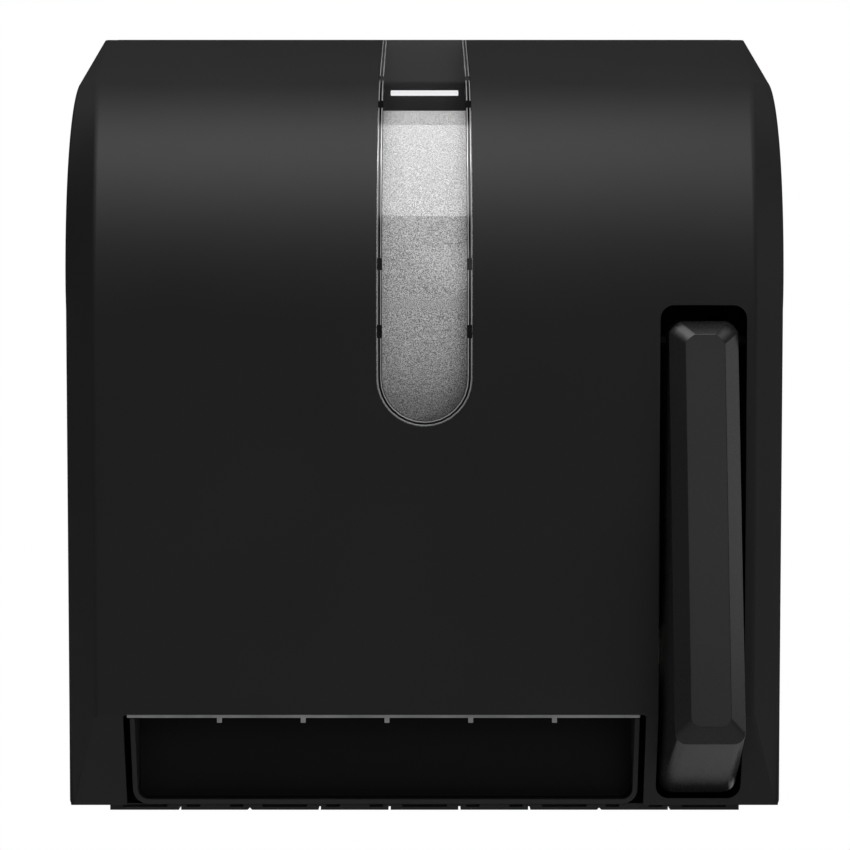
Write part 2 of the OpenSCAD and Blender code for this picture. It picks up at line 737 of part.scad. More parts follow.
module lever_spring() {
    coil = curl(torsion_turns, torsion_r, torsion_pitch, -90);
    top = [0, -torsion_r, torsion_turns * torsion_pitch];
    leg = [[-torsion_low_leg, -torsion_r, 0], [-torsion_bend, -torsion_r, 0]];
    path = concat(leg, coil, [top + [torsion_bend, 0, 0], top + [torsion_high_leg, 0, 0]]);
    echo(lever_spring_gap = wire_gap(path, torsion_wire));
    color(steel_color) translate([torsion_x, pivot_y, pivot_z]) rotate([0, 90, 0]) rotate(90)
        wire(path, torsion_wire, [0, 0, 1]);
}

// Cover hinge pins
hinge_gap = 1;
hinge_skin = 1.6;
hinge_boss_x = hinge_lug_x + lug_t + hinge_gap;
hinge_pin_end = side_w - hinge_skin;
module cover_hinge_pins() {
    color(steel_color) {
        rod_x(hinge_lug_x, hinge_pin_end - hinge_lug_x, pin_d / 2, hinge_y, hinge_z);
        rod_x(-hinge_pin_end, hinge_pin_end - hinge_lug_x, pin_d / 2, hinge_y, hinge_z);
    }
}

// Roll arms and their hubs
arm_end_r = arm_h / 2;
hub_r = core_bore / 2 - hub_gap;
hub_taper = 2.6;
module left_roll_arm() {
    color(plate_color) difference() {
        union() {
            rod_x(left_arm_x, arm_t, arm_end_r, roll_y, roll_z);
            block([left_arm_x, roll_y, arm_low], [left_arm_x + arm_t, -plate_t, arm_high]);
            foot_flange(left_arm_x - flange_w, flange_w + over, arm_low, arm_high);
        }
        plate_screw_holes();
    }
}
module left_hub() {
    color(gear_color) union() {
        rod_x(left_arm_x + arm_t, arm_gap + over, hub_r, roll_y, roll_z);
        translate([roll_left, roll_y, roll_z]) rotate([0, 90, 0])
            cylinder(h = hub_reach, r1 = hub_r, r2 = hub_r - hub_taper);
    }
}
arm_notch = 12;
arm_notch_in = 4;
module right_roll_arm() {
    color(plate_color) difference() {
        union() {
            difference() {
                union() {
                    rod_x(arm_plate_x, arm_t, arm_end_r, roll_y, roll_z);
                    block([arm_plate_x, roll_y, arm_low], [arm_plate_x + arm_t, arm_axis_y, arm_high]);
                }
                block([arm_plate_x - over, arm_axis_y - knuckle_r - arm_notch_in, roll_z - arm_notch / 2],
                    [arm_plate_x + arm_t + over, arm_axis_y + over, roll_z + arm_notch / 2]);
            }
            translate([arm_axis_x, arm_axis_y, arm_low]) cylinder(h = arm_h, r = knuckle_r);
        }
        translate([arm_axis_x, arm_axis_y, arm_low - over])
            cylinder(h = arm_h + 2 * over, r = pin_d / 2 + run_gap);
    }
}
module right_hub() {
    color(gear_color) union() {
        rod_x(roll_right - over, arm_gap + over, hub_r, roll_y, roll_z);
        translate([roll_right, roll_y, roll_z]) rotate([0, -90, 0])
            cylinder(h = hub_reach, r1 = hub_r, r2 = hub_r - hub_taper);
    }
}
arm_pin_low = arm_low - arm_lug_gap - arm_lug_t;
module arm_pin() {
    color(steel_color) translate([arm_axis_x, arm_axis_y, arm_pin_low])
        cylinder(h = arm_h + 2 * arm_lug_gap + 2 * arm_lug_t, r = pin_d / 2);
}
arm_coil_gap = 0.9;
arm_coil_r = knuckle_r + arm_coil_gap;
arm_leg = 30;
arm_leg_end = 4;
arm_leg_bend = 8;
wall_leg = 8.6;
arm_coil_turns = 4;
arm_coil_pitch = 1.8;
module arm_spring() {
    coil = curl(arm_coil_turns, arm_coil_r, arm_coil_pitch, 0);
    rise = [0, 0, arm_coil_turns * arm_coil_pitch];
    rest_x = arm_plate_x + arm_t + 2 * torsion_wire - arm_axis_x;
    legs = [[rest_x, -arm_leg, 0], [rest_x, arm_leg_end - arm_leg, 0], [arm_coil_r, -arm_leg_bend, 0]];
    path = concat(legs, coil, [rise + [arm_coil_r, wall_leg / 2, 0], rise + [arm_coil_r, wall_leg, 0]]);
    echo(arm_spring_gap = wire_gap(path, torsion_wire));
    color(steel_color) translate([arm_axis_x, arm_axis_y, roll_z - arm_coil_turns * arm_coil_pitch / 2])
        wire(path, torsion_wire, [0, 0, 1]);
}

// Paper roll on its core
core_r = core_bore / 2 + core_t;
module roll_core() {
    color("tan") difference() {
        rod_x(roll_left, roll_w, core_r, roll_y, roll_z);
        rod_x(roll_left - over, roll_w + 2 * over, core_bore / 2, roll_y, roll_z);
    }
}
module paper_roll() {
    color("whitesmoke") difference() {
        rod_x(roll_left, roll_w, roll_d / 2, roll_y, roll_z);
        rod_x(roll_left - over, roll_w + 2 * over, core_r + fit_gap, roll_y, roll_z);
    }
}

// Cover: a shell with openings for the window, the lever and the paper
module cover_form(off, back_y, base_z) {
    hull() {
        side_plate(-face_w + off / 2, 2 * face_w - off) polygon(face_outline(off));
        side_plate(-side_w + off, 2 * (side_w - off)) polygon(side_outline(off, back_y, base_z));
        block([-half_w + off, back_y - over, base_z], [half_w - off, back_y, roof_z(back_y - over, off)]);
    }
}
module window_plan(grow) {
    r = window_w / 2 + grow;
    translate([0, window_end_z]) circle(r);
    translate([-r, window_end_z]) square([2 * r, top_z + 2 * over - window_end_z]);
}
heel_gap = 0.5;
heel_r = -hinge_y - plate_t - heel_gap;
pin_end_gap = 0.4;
module hinge_boss(x) {
    rod_x(x, boss_t + wall / 2, lug_r, hinge_y, hinge_z);
}
module cover_shell() {
    color(cover_color) difference() {
        union() {
            difference() {
                cover_form(0, rear_y, low_z);
                cover_form(wall, over, low_z - 3 * over);
            }
            hinge_boss(hinge_boss_x);
            hinge_boss(-hinge_boss_x - boss_t - wall / 2);
        }
        front_plate(-body_d - over, body_d + over) window_plan(lens_gap);
        front_plate(-body_d - over, body_d / 4)
            round_box(lever_x - slot_w / 2, slot_low_z, lever_x + slot_w / 2, slot_top_z, slot_r);
        block([exit_mid - exit_half, -body_d - over, low_z - over],
            [exit_mid + exit_half, -3 * body_d / 4, crease_z + exit_rise]);
        side_plate(-half_w - over, 2 * half_w + 2 * over) difference() {
            translate([hinge_y, low_z - over]) square([-hinge_y, hinge_up + over]);
            translate([hinge_y, hinge_z]) circle(heel_r);
        }
        for (x = [-hinge_pin_end - pin_end_gap, hinge_boss_x - over])
            rod_x(x, hinge_pin_end - hinge_boss_x + over + pin_end_gap, pin_d / 2 + run_gap,
                hinge_y, hinge_z);
        rod_x(-half_w - over, wall + 3 * over, lock_r + run_gap, lock_y, lock_z);
    }
}

// Smoke-clear window strip with a rim on its inner side
function reverse(p) = [for (i = [len(p) - 1:-1:0]) p[i]];
function lens_edge(off, low) = concat([[front_y(low, off), low]], nose_arc(off, false),
    [[rear_y, roof_z(rear_y, off)]]);
module lens_strip(t) {
    low = window_end_z - window_w / 2 - over;
    side_plate(-window_w, 2 * window_w)
        polygon(concat(lens_edge(lens_set, low), reverse(lens_edge(lens_set + t, low))));
}
module window_lens() {
    color([0.35, 0.35, 0.37, 0.5]) difference() {
        intersection() {
            lens_strip(lens_t + rim_h);
            front_plate(-body_d - over, body_d + over) window_plan(0);
        }
        intersection() {
            difference() {
                lens_strip(lens_t + 2 * rim_h);
                lens_strip(lens_t);
            }
            front_plate(-body_d - 2 * over, body_d + 3 * over) window_plan(-rim_w);
        }
    }
}

// Key lock in the cover's left side
lock_set = 0.4;
nut_gap = 0.6;
nut_t = 3;
nut_wall = 4;
key_w = 2;
key_h = 8;
key_deep = 4;
cap_r = 4;
cap_t = 2;
cam_screw_len = 3;
lock_face = -side_w + lock_set;
module lock_nut() {
    color(steel_color) difference() {
        rod_x(-side_w + wall + nut_gap, nut_t, lock_r + nut_wall, lock_y, lock_z);
        rod_x(-side_w, wall + 2 * nut_t, lock_r + run_gap, lock_y, lock_z);
    }
}
module lock_barrel() {
    color(steel_color) difference() {
        rod_x(lock_face, cam_x - lock_face, lock_r, lock_y, lock_z);
        block([lock_face - over, lock_y - key_w / 2, lock_z - key_h / 2],
            [lock_face + key_deep, lock_y + key_w / 2, lock_z + key_h / 2]);
        rod_x(cam_x - cam_screw_len, cam_screw_len + over, screw_r + fit_gap, lock_y, lock_z);
    }
}
module lock_cam() {
    color(steel_color) difference() {
        union() {
            rod_x(cam_x, cam_t, lock_r - 1, lock_y, lock_z);
            block([cam_x, lock_y, lock_z - cam_w / 2], [cam_x + cam_t, lock_y + cam_len, lock_z + cam_w / 2]);
        }
        rod_x(cam_x - over, cam_t + 2 * over, screw_r + fit_gap, lock_y, lock_z);
    }
}
module lock_screw() {
    color(steel_color) {
        rod_x(cam_x - cam_screw_len, cam_t + cam_screw_len, screw_r, lock_y, lock_z);
        rod_x(cam_x + cam_t, cap_t, cap_r, lock_y, lock_z);
    }
}
module lock_keeper() {
    tab_y = lock_y - cam_w / 2 - 1;
    color(plate_color) {
        block([keeper_x, tab_y - keeper_lip, keeper_z], [keeper_x + keeper_t, -plate_t, keeper_z + keeper_w]);
        block([cam_x, tab_y - keeper_lip, keeper_z], [keeper_x + over, tab_y, keeper_z + keeper_w]);
    }
}

// Push lever: a bevelled shell, open at the back
facet_top = [-body_d - proud_top, lever_top_z - bevel];
rim_draw = 1.4;
rim_top = [-body_d - proud_top + rim_draw * bevel, lever_top_z];
foot_h = 28.4;
foot_set = 5;
back_wall = 3.4;
rear_room = 30;
rim_low = [-body_d - proud_low + 0.8 * bevel, lever_low_z + foot_h];
facet_low = [-body_d - proud_low, lever_low_z + foot_h + 1.3 * bevel];
foot_back = chin_y(lever_low_z) + foot_set;
back_top = pivot_y + lever_pin_d / 2 + back_wall;
back_bend = 62;
back_drop = 20;
lever_draft = 2.4;
draft_share = 0.4;
draft_front = foot_back + draft_share * (rim_low[0] - foot_back);
draft_low = lever_low_z + draft_share * foot_h;
function lever_side(far) = [rim_top, rim_low, [foot_back, lever_low_z], [foot_back + far, lever_low_z],
    [idler_y - back_bend + far, idler_z], [back_top + far, pivot_z - back_drop],
    [back_top + far, lever_top_z + over]];
function draft_side(far) = [[draft_front, draft_low], [foot_back, lever_low_z],
    [foot_back + far, lever_low_z], [idler_y - back_bend + far, idler_z], [draft_front, idler_z]];
function facet_side() = [facet_top, facet_low, [rim_low[0], facet_low[1]], [rim_top[0], facet_top[1]]];
module lever_form(inset, far) {
    hull() {
        side_plate(lever_x - facet_w / 2 + inset, facet_w - 2 * inset)
            offset(delta = -inset) polygon(facet_side());
        side_plate(lever_x - lever_w / 2 + inset, lever_w - 2 * inset)
            offset(delta = -inset) polygon(lever_side(far));
        side_plate(lever_x - lever_w / 2 - lever_draft + inset, lever_w + 2 * (lever_draft - inset))
            offset(delta = -inset) polygon(draft_side(far));
    }
}
rib_x = sector_x + gear_w;
rib_t = 3;
rib_half = 9;
rib_len = 78;
rib_rise = 4;
lever_boss_wall = 3;
lever_screw_drops = [38, 68];
lever_screw_z = [for (d = lever_screw_drops) pivot_z - d];
lever_head_r = 3.25;
lever_head_t = 1.6;
lever_screw_r = 1.75;
module lever_rib() {
    intersection() {
        side_plate(rib_x, rib_t)
            polygon([[pivot_y + rib_half, pivot_z + rib_rise], [-body_d - proud_low, pivot_z + rib_rise],
                [-body_d - proud_low, pivot_z - rib_len], [pivot_y + rib_half, pivot_z - rib_len]]);
        lever_form(lever_t / 2, 3 * rib_half);
    }
}
module lever_shell() {
    color([0.13, 0.13, 0.135]) difference() {
        union() {
            difference() {
                lever_form(0, 0);
                lever_form(lever_t, rear_room);
            }
            lever_rib();
            for (x = [lever_x - lever_w / 2 + lever_t / 2, lever_x + lever_w / 2 - lever_t - boss_w])
                rod_x(x, boss_w + lever_t / 2, lever_pin_d / 2 + lever_boss_wall, pivot_y, pivot_z);
        }
        rod_x(lever_x - lever_w, 2 * lever_w, lever_pin_d / 2 + run_gap, pivot_y, pivot_z);
        for (z = lever_screw_z)
            rod_x(rib_x - over, rib_t + 2 * over, lever_screw_r + fit_gap, pivot_y, z);
    }
}

// Toothed sector on the lever, and the gears that it drives
last_tooth = 3;
first_tooth = last_tooth + 1 - sector_teeth;
tooth_step = 360 / sector_circle;
sector_low = sector_way + first_tooth * tooth_step;
sector_high = sector_way + last_tooth * tooth_step;
sector_hub_gap = 0.4;
sector_hub_r = pivot_drop - lever_top_gap - lever_t - sector_hub_gap;
wedge_r = 7;
wedge_turn = 80;
hole_places = [0.72, 0.52];
hole_share = 0.1;
module sector_gear() {
    color(gear_color) difference() {
        translate([0, pivot_y, pivot_z]) {
            side_plate(sector_x, gear_w)
                polygon(concat([for (i = [first_tooth:last_tooth])
                        each tooth(sector_circle, sector_way + i * tooth_step)],
                    [polar(wedge_r, sector_high + wedge_turn), polar(wedge_r, sector_low - wedge_turn)]));
            side_plate(sector_x, gear_w) translate([-rib_half, -rib_len]) square([2 * rib_half, rib_len]);
            rod_x(sector_x, gear_w, sector_hub_r, 0, 0);
        }
        rod_x(sector_x - over, gear_w + 2 * over, lever_pin_d / 2 + run_gap, pivot_y, pivot_z);
        for (k = hole_places) let (r = sector_r * k, at = polar(r, sector_way - 2 * tooth_step))
            rod_x(sector_x - over, gear_w + 2 * over, r * hole_share, pivot_y + at[0], pivot_z + at[1]);
        for (z = lever_screw_z)
            rod_x(sector_x - over, gear_w + 2 * over, lever_screw_r + fit_gap, pivot_y, z);
    }
}
module lever_screws() {
    color(steel_color) for (z = lever_screw_z) {
        rod_x(sector_x, gear_w + rib_t, lever_screw_r, pivot_y, z);
        rod_x(sector_x - lever_head_t, lever_head_t, lever_head_r, pivot_y, z);
    }
}
hub_drop = 0.6;
hub_end_gap = 0.5;
hub_wall = small_r - tooth_down - hub_drop;
module gear(teeth, turn, x, w, y, z) {
    translate([0, y, z]) side_plate(x, w) polygon(gear_outline(teeth, turn));
}
module compound_gear() {
    color(gear_color) difference() {
        union() {
            gear(large_teeth, large_turn, gear_x, gear_w, idler_y, idler_z);
            rod_x(gear_x, gear_frame_x - hub_end_gap - gear_x, hub_wall, idler_y, idler_z);
            gear(small_teeth, pinion_turn, sector_x - over, gear_w + 2 * over, idler_y, idler_z);
        }
        rod_x(gear_x - over, gear_frame_x, shaft_d / 2 + run_gap, idler_y, idler_z);
    }
}

// Feed roller and pinch roller
shaft_over = 2;
sleeve_end = 1;
feed_end = 1.5;
pinch_end = 0.8;
feed_left = left_x - frame_t - shaft_over;
feed_len = right_x - frame_t - left_x - 2 * sleeve_end;
sleeve_count = 5;
sleeve_gap = 6;
sleeve_w = (feed_len - (sleeve_count - 1) * sleeve_gap) / sleeve_count;
module feed_shaft() {
    color(steel_color) rod_x(feed_left, gear_x + gear_w + feed_end - feed_left, shaft_d / 2, feed_y, feed_z);
}
module feed_sleeves() {
    color([0.22, 0.22, 0.23]) for (i = [0:sleeve_count - 1])
        let (x = left_x + sleeve_end + i * (sleeve_w + sleeve_gap)) difference() {
            rod_x(x, sleeve_w, feed_d / 2, feed_y, feed_z);
            rod_x(x - over, sleeve_w + 2 * over, shaft_d / 2 + fit_gap, feed_y, feed_z);
        }
}
module feed_gear() {
    color(gear_color) difference() {
        gear(small_teeth, feed_turn, gear_x, gear_w, feed_y, feed_z);
        rod_x(gear_x - over, gear_w + 2 * over, shaft_d / 2 + fit_gap, feed_y, feed_z);
    }
}
module pinch_shaft() {
    color(steel_color) rod_x(feed_left, right_x + pinch_end - feed_left, shaft_d / 2, pinch_y, pinch_z);
}
module pinch_sleeve() {
    color([0.5, 0.5, 0.5]) difference() {
        rod_x(left_x + sleeve_end, feed_len, pinch_d / 2, pinch_y, pinch_z);
        rod_x(left_x, feed_len + 2 * sleeve_end, shaft_d / 2 + fit_gap, pinch_y, pinch_z);
    }
}

back_plate();
left_frame();
right_frame();
gear_frame();
chute();
tear_bar();
tear_bar_screws();
base_tray();
paper_guide();
lever_pin();
idler_pin();
pin_clips();
feed_bushes();
pinch_blocks();
pinch_springs();
frame_screws();
cover_hinge_pins();
left_roll_arm();
left_hub();
arm_pin();
arm_spring();
lever_spring();
spring_peg();
lock_keeper();
cover_shell();
window_lens();
lock_nut();
lock_barrel();
lock_cam();
lock_screw();
lever_shell();
sector_gear();
lever_screws();
compound_gear();
feed_shaft();
feed_sleeves();
feed_gear();
pinch_shaft();
pinch_sleeve();
roll_core();
paper_roll();
right_roll_arm();
right_hub();
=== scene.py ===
import json
import math

import bmesh
import bpy
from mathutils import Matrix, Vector

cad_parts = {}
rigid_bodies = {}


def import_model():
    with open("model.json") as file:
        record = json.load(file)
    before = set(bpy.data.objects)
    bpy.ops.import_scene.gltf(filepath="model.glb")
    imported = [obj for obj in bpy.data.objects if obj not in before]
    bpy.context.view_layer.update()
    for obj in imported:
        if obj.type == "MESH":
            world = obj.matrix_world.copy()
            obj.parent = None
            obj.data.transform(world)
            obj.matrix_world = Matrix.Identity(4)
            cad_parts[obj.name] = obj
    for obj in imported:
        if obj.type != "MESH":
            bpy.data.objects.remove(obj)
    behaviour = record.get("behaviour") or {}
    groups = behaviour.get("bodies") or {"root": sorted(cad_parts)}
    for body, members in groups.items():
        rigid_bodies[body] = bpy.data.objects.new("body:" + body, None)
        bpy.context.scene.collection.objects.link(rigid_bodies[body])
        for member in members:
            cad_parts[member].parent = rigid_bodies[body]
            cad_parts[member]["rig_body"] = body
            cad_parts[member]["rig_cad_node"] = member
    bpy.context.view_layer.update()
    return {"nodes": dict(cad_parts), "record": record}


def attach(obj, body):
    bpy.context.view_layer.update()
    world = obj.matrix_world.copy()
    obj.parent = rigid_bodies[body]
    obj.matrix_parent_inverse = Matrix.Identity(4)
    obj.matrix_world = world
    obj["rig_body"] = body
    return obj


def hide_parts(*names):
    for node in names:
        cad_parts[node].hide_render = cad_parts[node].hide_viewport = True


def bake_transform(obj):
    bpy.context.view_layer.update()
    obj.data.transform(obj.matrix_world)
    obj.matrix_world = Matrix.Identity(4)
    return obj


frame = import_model()
print("frame loaded:", len(frame["nodes"]), "nodes")


# picking and shaping helpers
def clearPick():
    if bpy.context.object and bpy.context.object.mode != "OBJECT":
        bpy.ops.object.mode_set(mode="OBJECT")
    bpy.ops.object.select_all(action="DESELECT")


def makeActive(piece):
    clearPick()
    piece.select_set(True)
    bpy.context.view_layer.objects.active = piece


def openEdit(piece, kind="VERT"):
    makeActive(piece)
    bpy.ops.object.mode_set(mode="EDIT")
    bpy.ops.mesh.select_mode(type=kind)
    bpy.ops.mesh.select_all(action="DESELECT")
    return bmesh.from_edit_mesh(piece.data)


def closeEdit(piece):
    bmesh.update_edit_mesh(piece.data)
    bpy.ops.object.mode_set(mode="OBJECT")


def useModifier(piece, kind, **values):
    makeActive(piece)
    bpy.ops.object.modifier_add(type=kind)
    tool = piece.modifiers[-1]
    for key, value in values.items():
        setattr(tool, key, value)
    bpy.ops.object.modifier_apply(modifier=tool.name)


def cutWith(piece, cutter, operation="DIFFERENCE"):
    useModifier(piece, "BOOLEAN", operation=operation, object=cutter, solver="EXACT")
    bpy.data.objects.remove(cutter)


def mergeClose(piece, distance=1e-6):
    openEdit(piece)
    bpy.ops.mesh.select_all(action="SELECT")
    bpy.ops.mesh.remove_doubles(threshold=distance)
    closeEdit(piece)


def roundEdges(piece, width, angle=34):
    useModifier(piece, "BEVEL", width=width, segments=2, limit_method="ANGLE",
                angle_limit=math.radians(angle), use_clamp_overlap=True)


def smoothFaces(piece, angle=30):
    makeActive(piece)
    bpy.ops.object.shade_smooth_by_angle(angle=math.radians(angle))
    useModifier(piece, "WEIGHTED_NORMAL", keep_sharp=True, weight=60)


def settle(piece, body, slot, finish, *nodes):
    piece.data.materials.clear()
    piece.data.materials.append(finish)
    if nodes:
        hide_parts(*nodes)
    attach(piece, body)
    return piece


# the edges of the newest ring
def pickLast(piece, count):
    mesh = openEdit(piece, "EDGE")
    mesh.verts.ensure_lookup_table()
    newest = set(mesh.verts[-count:])
    for edge in mesh.edges:
        if edge.verts[0] in newest and edge.verts[1] in newest:
            edge.select_set(True)
    bmesh.update_edit_mesh(piece.data)


# closed rings of points, each drawn out of the one before
def loftRings(name, rings, capFirst=False, capLast=False, joinEnds=False):
    count = len(rings[0])
    clearPick()
    bpy.ops.mesh.primitive_circle_add(vertices=count, radius=0.01, fill_type="NGON" if capFirst else "NOTHING")
    piece = bpy.context.object
    piece.name = piece.data.name = name
    for vertex, place in zip(piece.data.vertices, rings[0]):
        vertex.co = place
    for ring, following in zip(rings, rings[1:]):
        pickLast(piece, count)
        bpy.ops.mesh.extrude_edges_move()
        mesh = bmesh.from_edit_mesh(piece.data)
        for vertex in [vertex for vertex in mesh.verts if vertex.select]:
            nearest = min(range(count), key=lambda k: (vertex.co - Vector(ring[k])).length_squared)
            vertex.co = following[nearest]
        closeEdit(piece)
    pickLast(piece, count)
    if capLast:
        bpy.ops.mesh.edge_face_add()
    if joinEnds:
        bpy.ops.mesh.select_all(action="SELECT")
        bpy.ops.mesh.remove_doubles(threshold=1e-6)
    bpy.ops.mesh.select_all(action="SELECT")
    bpy.ops.mesh.normals_make_consistent(inside=False)
    closeEdit(piece)
    return piece


# a strip of rows, laid on a grid
def layRows(name, rows):
    clearPick()
    bpy.ops.mesh.primitive_grid_add(x_subdivisions=len(rows[0]) - 1, y_subdivisions=len(rows) - 1, size=1)
    piece = bpy.context.object
    piece.name = piece.data.name = name
    for index, vertex in enumerate(piece.data.vertices):
        vertex.co = rows[index // len(rows[0])][index % len(rows[0])]
    return piece


# prism of an outline seen from the front, drawn along Y
def prismY(name, outline, nearY, farY):
    near = [(x, nearY, z) for x, z in outline]
    far = [(x, farY, z) for x, z in outline]
    return loftRings(name, [near, far], True, True)


def prismX(name, outline, lowX, highX):
    low = [(lowX, y, z) for y, z in outline]
    high = [(highX, y, z) for y, z in outline]
    return loftRings(name, [low, high], True, True)


def roundedBox(lowX, lowZ, highX, highZ, radius, steps=6):
    points = []
    for cx, cz, start in ((highX - radius, highZ - radius, 0), (lowX + radius, highZ - radius, 90),
                          (lowX + radius, lowZ + radius, 180), (highX - radius, lowZ + radius, 270)):
        for k in range(steps + 1):
            turn = math.radians(start + 90 * k / steps)
            points.append((cx + radius * math.cos(turn), cz + radius * math.sin(turn)))
    return points


# turned form about an axis along X, from (x, radius) pairs
def turnedX(name, profile, centreY, centreZ, sides=96, closed=False):
    rings = []
    for x, radius in profile + (profile[:1] if closed else []):
        rings.append([(x, centreY + radius * math.cos(2 * math.pi * k / sides),
                       centreZ + radius * math.sin(2 * math.pi * k / sides)) for k in range(sides)])
    return loftRings(name, rings, not closed, not closed, closed)


# finishes
def startFinish(name):
    finish = bpy.data.materials.new(name)
    finish.use_nodes = True
    tree = finish.node_tree
    place = tree.nodes.new("ShaderNodeTexCoord")
    return finish, tree, tree.nodes["Principled BSDF"], place.outputs["Object"]


def mapped(tree, where, stretch=(1, 1, 1), shift=(0, 0, 0)):
    mapping = tree.nodes.new("ShaderNodeMapping")
    mapping.inputs["Location"].default_value = shift
    mapping.inputs["Scale"].default_value = stretch
    tree.links.new(where, mapping.inputs["Vector"])
    return mapping.outputs["Vector"]


def noiseField(tree, where, scale, detail=3.0, rough=0.55):
    noise = tree.nodes.new("ShaderNodeTexNoise")
    noise.inputs["Scale"].default_value = scale
    noise.inputs["Detail"].default_value = detail
    noise.inputs["Roughness"].default_value = rough
    tree.links.new(where, noise.inputs["Vector"])
    return noise.outputs["Fac"]


def spread(tree, field, low, high, fromLow=0.3, fromHigh=0.7):
    scale = tree.nodes.new("ShaderNodeMapRange")
    scale.inputs["From Min"].default_value = fromLow
    scale.inputs["From Max"].default_value = fromHigh
    scale.inputs["To Min"].default_value = low
    scale.inputs["To Max"].default_value = high
    tree.links.new(field, scale.inputs["Value"])
    return scale.outputs["Result"]


def tinted(tree, field, dark, light, low=0.3, high=0.7):
    ramp = tree.nodes.new("ShaderNodeValToRGB")
    ramp.color_ramp.elements[0].position = low
    ramp.color_ramp.elements[1].position = high
    ramp.color_ramp.elements[0].color = (*dark, 1)
    ramp.color_ramp.elements[1].color = (*light, 1)
    tree.links.new(field, ramp.inputs["Fac"])
    return ramp.outputs["Color"]


def addBump(tree, shader, field, strength, distance):
    bump = tree.nodes.new("ShaderNodeBump")
    bump.inputs["Strength"].default_value = strength
    bump.inputs["Distance"].default_value = distance
    tree.links.new(field, bump.inputs["Height"])
    tree.links.new(bump.outputs["Normal"], shader.inputs["Normal"])


def mouldedFinish(name, dark, light, roughLow, roughHigh, grain, bump, specular):
    finish, tree, shader, where = startFinish(name)
    broad = noiseField(tree, where, 14, 4)
    fine = noiseField(tree, where, grain, 2)
    tree.links.new(tinted(tree, broad, dark, light), shader.inputs["Base Color"])
    tree.links.new(spread(tree, fine, roughLow, roughHigh), shader.inputs["Roughness"])
    shader.inputs["Specular IOR Level"].default_value = specular
    addBump(tree, shader, fine, bump, 0.0002)
    return finish


def metalFinish(name, dark, light, roughLow, roughHigh, stretch, grain=900):
    finish, tree, shader, where = startFinish(name)
    lines = noiseField(tree, mapped(tree, where, stretch), grain, 4)
    stain = noiseField(tree, where, 60, 3)
    tree.links.new(tinted(tree, stain, dark, light), shader.inputs["Base Color"])
    tree.links.new(spread(tree, lines, roughLow, roughHigh), shader.inputs["Roughness"])
    shader.inputs["Metallic"].default_value = 1.0
    addBump(tree, shader, lines, 0.12, 0.00005)
    return finish


paperForm = {"crepe": 2100, "crepeRough": 0.7, "contrast": (0.40, 0.60), "ringScale": 110, "ringBend": 0.6,
             "ringShare": 0.35, "axisY": -0.106, "axisZ": 0.0440116}


def paperFinish(name, dark, light):
    finish, tree, shader, where = startFinish(name)
    crepe = noiseField(tree, where, paperForm["crepe"], 2, paperForm["crepeRough"])
    wave = tree.nodes.new("ShaderNodeTexWave")
    wave.wave_type = "RINGS"
    wave.rings_direction = "X"
    wave.inputs["Scale"].default_value = paperForm["ringScale"]
    wave.inputs["Distortion"].default_value = paperForm["ringBend"]
    wave.inputs["Detail"].default_value = 2
    fromAxis = mapped(tree, where, shift=(0, -paperForm["axisY"], -paperForm["axisZ"]))
    tree.links.new(fromAxis, wave.inputs["Vector"])
    blend = tree.nodes.new("ShaderNodeMath")
    blend.operation = "MULTIPLY_ADD"
    blend.inputs[1].default_value = paperForm["ringShare"]
    tree.links.new(wave.outputs["Fac"], blend.inputs[0])
    tree.links.new(crepe, blend.inputs[2])
    tree.links.new(tinted(tree, crepe, dark, light, *paperForm["contrast"]), shader.inputs["Base Color"])
    tree.links.new(spread(tree, crepe, 0.82, 0.96), shader.inputs["Roughness"])
    shader.inputs["Specular IOR Level"].default_value = 0.2
    addBump(tree, shader, blend.outputs["Value"], 0.5, 0.0003)
    return finish


# painted shade: paler at the lip, darker down the throat, where the chute's inside lies in shadow
def shadedScoopFinish(name, lip, throatShade, lipY, throatY, roughLow, roughHigh, grain, bump, specular):
    finish, tree, shader, where = startFinish(name)
    parts = tree.nodes.new("ShaderNodeSeparateXYZ")
    tree.links.new(where, parts.inputs["Vector"])
    depth = spread(tree, parts.outputs["Y"], 0.0, 1.0, lipY, throatY)
    tree.links.new(tinted(tree, depth, lip, throatShade, 0.0, 1.0), shader.inputs["Base Color"])
    fine = noiseField(tree, where, grain, 2)
    tree.links.new(spread(tree, fine, roughLow, roughHigh), shader.inputs["Roughness"])
    shader.inputs["Specular IOR Level"].default_value = specular
    addBump(tree, shader, fine, bump, 0.0002)
    return finish


def boardFinish(name, dark, light):
    finish, tree, shader, where = startFinish(name)
    fibre = noiseField(tree, mapped(tree, where, (1, 4, 4)), 220, 5, 0.65)
    tree.links.new(tinted(tree, fibre, dark, light), shader.inputs["Base Color"])
    tree.links.new(spread(tree, fibre, 0.78, 0.95), shader.inputs["Roughness"])
    addBump(tree, shader, fibre, 0.25, 0.0003)
    return finish


lensForm = {"steepness": 5, "edgeMirror": 0.5, "faceMirror": 0.055, "rough": (0.03, 0.05)}


